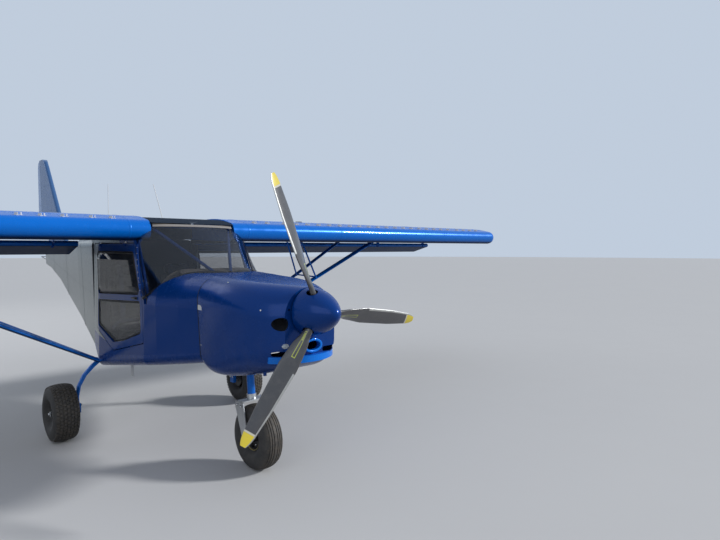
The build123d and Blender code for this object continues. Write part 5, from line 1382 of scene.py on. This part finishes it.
def settled_pad(name, centre, size, tilt, crown, cap):
    """A stuffed pad: a rounded block, inflated as cloth a little and held within a cap."""
    shape = bmesh.new()
    bmesh.ops.create_cube(shape, size=1.0)
    bmesh.ops.subdivide_edges(shape, edges=shape.edges, cuts=9, use_grid_fill=True)
    turn = Euler(tilt).to_matrix()
    for vertex in shape.verts:
        x, y, z = (c * 2 for c in vertex.co)
        pull = 1 - 0.05 * (x * x * y * y)
        side_round = (1 - abs(z) ** 3 * 0.10)
        thick = 1 - 0.30 * max(abs(x), abs(y)) ** 5
        swell = crown * (1 - x * x) * (1 - y * y) * (1 if z > 0 else 0.2)
        local = Vector((x * size[0] / 2 * pull * side_round, y * size[1] / 2 * pull * side_round,
                        z * size[2] / 2 * thick + swell))
        vertex.co = turn @ local + Vector(centre)
    mesh = bpy.data.meshes.new(name)
    shape.to_mesh(mesh)
    shape.free()
    pad = bpy.data.objects.new(name, mesh)
    bpy.context.scene.collection.objects.link(pad)
    remesh = pad.modifiers.new("Skin", "REMESH")
    remesh.mode = "VOXEL"
    remesh.voxel_size = pad_voxel
    bake_modifiers(pad)
    start = [v.co.copy() for v in pad.data.vertices]
    cloth = pad.modifiers.new("Stuffing", "CLOTH")
    cloth.settings.use_pressure = True
    cloth.settings.uniform_pressure_force = 4.0
    cloth.settings.effector_weights.gravity = 0.0
    cloth.settings.quality = 4
    for step in range(1, 17):
        bpy.context.scene.frame_set(step)
    graph = bpy.context.evaluated_depsgraph_get()
    swollen = pad.evaluated_get(graph).to_mesh()
    moved = [v.co.copy() for v in swollen.vertices]
    pad.evaluated_get(graph).to_mesh_clear()
    pad.modifiers.clear()
    bpy.context.scene.frame_set(1)
    for vertex, before, after in zip(pad.data.vertices, start, moved):
        step = after - before
        vertex.co = before + step * min(1.0, cap / max(step.length, 1e-9))
    pad.data.update()
    return pad


def bake_modifiers(piece):
    """Gives a piece the mesh that its modifiers make, and removes them."""
    bpy.context.view_layer.update()
    graph = bpy.context.evaluated_depsgraph_get()
    mesh = bpy.data.meshes.new_from_object(piece.evaluated_get(graph))
    piece.modifiers.clear()
    piece.data = mesh


def press_channels(pad, centre, tilt, lines, along, depth, width):
    """Draws sewn channels into a pad, across its local X or Y at the given places."""
    back = Euler(tilt).to_matrix().transposed()
    for vertex in pad.data.vertices:
        local = back @ (vertex.co - Vector(centre))
        value = local.x if along == "x" else local.y
        sink = sum(math.exp(-((value - line) / width) ** 2) for line in lines)
        vertex.co -= vertex.normal * (depth * min(1.0, sink))
    pad.data.update()


# Half the distance between the seats, both faces of a seat's shell (aft of the axle, up), and the
# legs and rails under it (lower end, upper end, radius), metres
seat_x = 0.232
seat_shell = [(-0.325, 0.846), (0.012, 0.812), (0.052, 0.828), (0.235, 1.372)]
seat_shell_inner = [(-0.325, 0.853), (0.014, 0.819), (0.046, 0.833), (0.228, 1.372)]
seat_tubes = (((-0.28, 0.688), (-0.27, 0.846), 0.011), ((-0.02, 0.575), (-0.02, 0.815), 0.011),
              ((-0.30, 0.62), (0.00, 0.582), 0.008))


class AIRCRAFT_OT_seats(Operator):
    """Make the padded seats, their shells and harnesses"""
    bl_idname = "aircraft.seats"
    bl_label = "Seats"

    def execute(self, context):
        back_lean = math.radians(17.5)
        base_tilt = (math.radians(-6.2), 0.0, 0.0)
        back_tilt = (math.radians(90) - back_lean, 0.0, 0.0)
        base_centre = spot(seat_x, -0.148, 0.874)
        back_centre = spot(seat_x, 0.122, 1.118)
        head_centre = spot(seat_x, 0.196, 1.345)
        base = settled_pad("seat_base", base_centre, (0.385, 0.345, 0.052), base_tilt, 0.010, 0.010)
        back = settled_pad("seat_back", back_centre, (0.385, 0.395, 0.046), back_tilt, 0.008, 0.010)
        head = settled_pad("seat_head", head_centre, (0.25, 0.085, 0.042), back_tilt, 0.006, 0.008)
        press_channels(base, base_centre, base_tilt, (-0.115, 0.115), "x", 0.007, 0.006)
        press_channels(base, base_centre, base_tilt, (-0.08, 0.06), "y", 0.005, 0.006)
        press_channels(back, back_centre, back_tilt, (-0.115, 0.115), "x", 0.007, 0.006)
        press_channels(back, back_centre, back_tilt, (-0.12, -0.02, 0.08), "y", 0.005, 0.006)
        shell_parts, strap_parts, metal_parts = [], [], []
        pads = []
        for side in (1, -1):
            for pad, label in ((base, "base"), (back, "back"), (head, "head")):
                if side == 1:
                    twin = pad
                    twin.name = f"seat_{label}_left"
                else:
                    twin = bpy.data.objects.new(f"seat_{label}_right", pad.data.copy())
                    bpy.context.scene.collection.objects.link(twin)
                    for vertex in twin.data.vertices:
                        vertex.co.x -= 2 * seat_x
                pads.append(twin)
            x = side * seat_x
            section = seat_shell + seat_shell_inner[::-1]
            verts = [spot(x + edge, a, z) for edge in (-0.198, 0.198) for a, z in section]
            n = len(section)
            faces = [tuple(range(n)), tuple(reversed(range(n, 2 * n)))]
            faces += [(i, (i + 1) % n, n + (i + 1) % n, n + i) for i in range(n)]
            shell_parts.append((verts, faces))
            for rail in (-0.15, 0.15):
                for low, high, radius in seat_tubes:
                    metal_parts.append(tube_part([spot(x + rail, *low), spot(x + rail, *high)], radius))
            for offset in (-0.085, 0.085):
                path = [spot(x + offset * 0.7, 0.262, 1.372), spot(x + offset * 0.8, 0.200, 1.392),
                        spot(x + offset, 0.130, 1.315), spot(x + offset * 1.1, 0.062, 1.12),
                        spot(x + offset * 1.3, 0.010, 0.960), spot(x + offset * 1.7, -0.045, 0.918)]
                path = even_path(smooth_path(path, 8), 0.012)
                strap_parts.append(strap_part(path, 0.045, 0.0016, Vector((1, 0, 0))))
            lap = [spot(x - 0.195, 0.02, 0.860), spot(x - 0.15, -0.03, 0.918), spot(x, -0.065, 0.928),
                   spot(x + 0.15, -0.03, 0.918), spot(x + 0.195, 0.02, 0.860)]
            lap = even_path(smooth_path(lap, 8), 0.012)
            strap_parts.append(strap_part(lap, 0.045, 0.0016, Vector((0, 0.85, 0.5))))
            shell_parts.append(box_part(spot(x, -0.068, 0.936), (0.060, 0.045, 0.016)))
        for pad in pads:
            smooth = pad.modifiers.new("Smooth", "SUBSURF")
            smooth.levels = 1
            smooth.render_levels = 1
            pad.data.polygons.foreach_set("use_smooth", [True] * len(pad.data.polygons))
            hand_over(pad, "airframe", finish("seat_cloth"))
        shells = joined("seat_shells", shell_parts)
        hand_over(shells, "airframe", finish("black_plastic"), ["seats"])
        rails = joined("seat_rails", metal_parts, 40)
        hand_over(rails, "airframe", finish("dark_steel"))
        straps = joined("seat_harness", strap_parts, 40)
        hand_over(straps, "airframe", finish("harness"))
        return {"FINISHED"}


def strap_part(path, width, thick, side):
    """A flat webbing strap along a path, its width kept along side."""
    verts, faces = [], []
    for i, point in enumerate(path):
        way = (path[min(i + 1, len(path) - 1)] - path[max(i - 1, 0)]).normalized()
        across = (side - way * side.dot(way)).normalized()
        up = way.cross(across)
        for u, v in ((-0.5, -0.5), (-0.5, 0.5), (0.5, 0.5), (0.5, -0.5)):
            verts.append(point + across * (u * width) + up * (v * thick))
    for i in range(len(path) - 1):
        for k in range(4):
            n = (k + 1) % 4
            faces.append((i * 4 + k, i * 4 + n, i * 4 + 4 + n, i * 4 + 4 + k))
    faces.append((0, 1, 2, 3))
    last = (len(path) - 1) * 4
    faces.append((last + 3, last + 2, last + 1, last))
    return verts, faces


class AIRCRAFT_OT_panel_dials(Operator):
    """Fit the instrument dials, switches and knobs on the panel"""
    bl_idname = "aircraft.panel_dials"
    bl_label = "Panel dials"

    def execute(self, context):
        face_y = axle_y - 0.940
        spokes = 48
        bezels, knobs = [], []
        face_verts, face_faces, marks = [], [], []
        dials = [(x, z, 0.040) for z in (1.300, 1.205) for x in (-0.33, -0.235, -0.14)]
        dials += [(x, z, 0.029) for z in (1.305, 1.230) for x in (0.14, 0.21, 0.28, 0.35)]
        for x, z, r in dials:
            centre = Vector((x, face_y, z))
            ring = [(0.0, r), (0.0, r + 0.006), (0.006, r + 0.005), (0.008, r + 0.001),
                    (0.006, r - 0.001), (0.001, r)]
            bezels.append(turned_part(ring, centre, (0, 1, 0), 32))
            start = len(face_verts)
            face_verts.append(centre + Vector((0, 0.001, 0)))
            marks.append(0.0)
            rings = (0.70, 0.74, 0.90, 0.94, 1.0)
            for share in rings:
                for step in range(spokes):
                    angle = 2 * math.pi * step / spokes
                    across, up = math.cos(angle) * r * share, math.sin(angle) * r * share
                    face_verts.append(centre + Vector((across, 0.001, up)))
                    marks.append(1.0 if share in (0.74, 0.90) and step % 4 == 0 else 0.0)
            for step in range(spokes):
                nxt = (step + 1) % spokes
                face_faces.append((start, start + 1 + nxt, start + 1 + step))
                for ring_number in range(len(rings) - 1):
                    a = start + 1 + ring_number * spokes + step
                    b = start + 1 + ring_number * spokes + nxt
                    face_faces.append((a, b, b + spokes, a + spokes))
            hand = Vector((math.cos(2.2 + x * 7), 0, math.sin(2.2 + x * 7)))
            knobs.append(tube_part([centre + Vector((0, 0.003, 0)) - hand * r * 0.15,
                                    centre + Vector((0, 0.003, 0)) + hand * r * 0.72], [0.0016, 0.0006], 6))
        for x in (-0.36, -0.31, -0.26, -0.21, -0.16, -0.11, 0.12, 0.17, 0.22, 0.27, 0.32):
            centre = Vector((x, face_y, 1.150))
            knobs.append(tube_part([centre, centre + Vector((0, 0.004, 0)), centre + Vector((0, 0.004, 0)),
                                    centre + Vector((0, 0.020, 0.006))], [0.007, 0.007, 0.003, 0.0025], 10))
        screen = box_part(Vector((0.0, face_y + 0.004, 1.265)), (0.165, 0.014, 0.115))
        bezels.append(screen)
        bezels.append(box_part(Vector((0.0, face_y + 0.003, 1.165)), (0.150, 0.010, 0.040)))
        rings_piece = joined("dial_bezels", bezels, 40)
        hand_over(rings_piece, "airframe", finish("black_plastic"))
        faces_piece = solid_from("dial_faces", face_verts, face_faces)
        layer = faces_piece.data.attributes.new("mark", "FLOAT", "POINT")
        layer.data.foreach_set("value", marks)
        hand_over(faces_piece, "airframe", finish("dial"))
        hands = joined("dial_hands", knobs, 40)
        hand_over(hands, "airframe", finish("white_trim"))
        return {"FINISHED"}


class AIRCRAFT_OT_gear_fittings(Operator):
    """Add the bolts of the main gear legs and axle ends, and of the nose fork"""
    bl_idname = "aircraft.gear_fittings"
    bl_label = "Gear fittings"

    def execute(self, context):
        spots, steer_spots = [], []
        fork_low, fork_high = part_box("nose_fork")
        for side in (-1, 1):
            face = fork_high.x if side > 0 else fork_low.x
            for a, z in ((-1.466, 0.452), (-1.512, 0.446)):
                steer_spots.append((Vector((face + side * 0.002, axle_y + a, z)), Vector((side, 0, 0))))
            for a in (-0.02, 0.02):
                spots.append((spot(side * 0.702, a, 0.262), Vector((-side, 0, 0))))
            spots.append((spot(side * 0.926, 0.0, axle_z), Vector((side, 0, 0))))
        set_heads("gear_bolts", "airframe", spots, "bright_steel", "machined_metal",
                  Radius=0.010, Height=0.009, Top_share=0.9, Sides=6)
        set_heads("fork_bolts", "nose_steering", steer_spots, "bright_steel", "machined_metal",
                  Radius=0.009, Height=0.008, Top_share=0.9, Sides=6)
        return {"FINISHED"}


def ray_seen(tree):
    """1 for rays by which the camera, gloss or glass sees a surround, 0 for those that light things."""
    rays = add_node(tree, "ShaderNodeLightPath").outputs
    either = add_node(tree, "ShaderNodeMath", {0: rays["Is Camera Ray"], 1: rays["Is Glossy Ray"]},
                      operation="MAXIMUM").outputs[0]
    return add_node(tree, "ShaderNodeMath", {0: either, 1: rays["Is Transmission Ray"]},
                    operation="MAXIMUM").outputs[0]


# The camera, solved from the photograph: metres, millimetres, and degrees below level and round Z
camera_place = (-2.069, -5.656, 1.5465)
camera_lens = 27.13
camera_dip, camera_turn = 2.346, -43.52


class AIRCRAFT_OT_stage(Operator):
    """Lay the floor, set the soft lights, the pale surround and the camera"""
    bl_idname = "aircraft.stage"
    bl_label = "Stage"

    def execute(self, context):
        stage = context.scene.aircraft_stage
        sides = 96
        verts = [Vector((0, 0, 0))]
        verts += [Vector((math.cos(2 * math.pi * i / sides), math.sin(2 * math.pi * i / sides), 0))
                  * stage.floor_radius for i in range(sides)]
        faces = [(0, i + 1, (i + 1) % sides + 1) for i in range(sides)]
        floor = solid_from("floor", verts, faces)
        ground = Finish("floor_finish")
        grey = stage.floor_grey
        pale = ground.colours(ground.noise(0.6, 4.0), (grey * 0.97,) * 3, (grey, grey, grey * 0.995))
        seen = ray_seen(ground.tree)
        ground.link(ground.colours(seen, (grey * 0.30,) * 3, pale), "Base Color")
        ground.link(ground.span(ground.noise(3.0, 3.0), 0.3, 0.8, 0.75, 0.92), "Roughness")
        floor.data.materials.append(ground.material)
        self.surround(context)
        self.lights(stage)
        camera_data = bpy.data.cameras.new("view_camera")
        camera_data.sensor_width = 36.0
        camera_data.lens = camera_lens
        camera_data.clip_end = 400.0
        camera = bpy.data.objects.new("view_camera", camera_data)
        context.scene.collection.objects.link(camera)
        camera.location = camera_place
        camera.rotation_euler = (math.radians(90 - camera_dip), 0.0, math.radians(camera_turn))
        context.scene.camera = camera
        context.scene.view_settings.view_transform = "Standard"
        return {"FINISHED"}

    def surround(self, context):
        """A plain sky dome for light, and a pale one where the camera, gloss or glass looks at it."""
        world = bpy.data.worlds.new("surround")
        context.scene.world = world
        world.use_nodes = True
        tree = world.node_tree
        tree.nodes.clear()
        out = add_node(tree, "ShaderNodeOutputWorld")
        light = add_node(tree, "ShaderNodeBackground", {"Color": (0.80, 0.87, 1.0, 1.0), "Strength": 0.42})
        shown = add_node(tree, "ShaderNodeBackground", {"Color": (0.66, 0.76, 0.90, 1.0), "Strength": 0.80})
        mix = add_node(tree, "ShaderNodeMixShader",
                       {0: ray_seen(tree), 1: light.outputs[0], 2: shown.outputs[0]})
        tree.links.new(mix.outputs[0], out.inputs[0])

    def lights(self, stage):
        aim = Vector((0, -0.8, 0.9))
        lamps = (("key_light", "SUN", (7.5, -6.8, 5.6), 0.12, stage.key_strength),
                 ("fill_light", "AREA", (-7.0, -6.0, 4.5), 6.0, stage.fill_power),
                 ("rear_light", "AREA", (-3.0, 9.0, 7.0), 6.0, stage.fill_power))
        for name, kind, place, size, power in lamps:
            data = bpy.data.lights.new(name, kind)
            if kind == "SUN":
                data.angle = size
            else:
                data.size = size
            data.energy = power
            lamp = bpy.data.objects.new(name, data)
            bpy.context.scene.collection.objects.link(lamp)
            lamp.location = place
            lamp.rotation_euler = (aim - Vector(place)).to_track_quat("-Z", "Y").to_euler()


class AIRCRAFT_PT_sidebar(Panel):
    """Shows the aircraft's settings and the buttons of its build steps in the 3D view's sidebar"""
    bl_idname = "AIRCRAFT_PT_sidebar"
    bl_label = "Aircraft"
    bl_space_type = "VIEW_3D"
    bl_region_type = "UI"
    bl_category = "Aircraft"

    def draw(self, context):
        layout = self.layout
        scene = context.scene
        for group in (scene.aircraft_paint, scene.aircraft_detail, scene.aircraft_stage):
            column = layout.column(align=True)
            for name in group.bl_rna.properties.keys():
                if name not in ("rna_type", "name"):
                    column.prop(group, name)
        for step in steps:
            layout.operator(step.bl_idname)


steps = (AIRCRAFT_OT_stage, AIRCRAFT_OT_node_finishes, AIRCRAFT_OT_propeller, AIRCRAFT_OT_tyres,
         AIRCRAFT_OT_wheel_fittings, AIRCRAFT_OT_rivets, AIRCRAFT_OT_vortex_tabs, AIRCRAFT_OT_skin_laps,
         AIRCRAFT_OT_glazing_trim, AIRCRAFT_OT_nose_details, AIRCRAFT_OT_seats, AIRCRAFT_OT_panel_dials,
         AIRCRAFT_OT_gear_fittings)
groups = (PaintSettings, DetailSettings, StageSettings)


def register():
    for cls in groups + steps + (AIRCRAFT_PT_sidebar,):
        bpy.utils.register_class(cls)
    bpy.types.Scene.aircraft_paint = PointerProperty(type=PaintSettings)
    bpy.types.Scene.aircraft_detail = PointerProperty(type=DetailSettings)
    bpy.types.Scene.aircraft_stage = PointerProperty(type=StageSettings)


def unregister():
    del bpy.types.Scene.aircraft_stage
    del bpy.types.Scene.aircraft_detail
    del bpy.types.Scene.aircraft_paint
    for cls in reversed(groups + steps + (AIRCRAFT_PT_sidebar,)):
        bpy.utils.unregister_class(cls)


def main():
    register()
    for step in steps:
        family, name = step.bl_idname.split(".")
        getattr(getattr(bpy.ops, family), name)()
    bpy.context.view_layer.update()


if __name__ == "__main__":
    main()
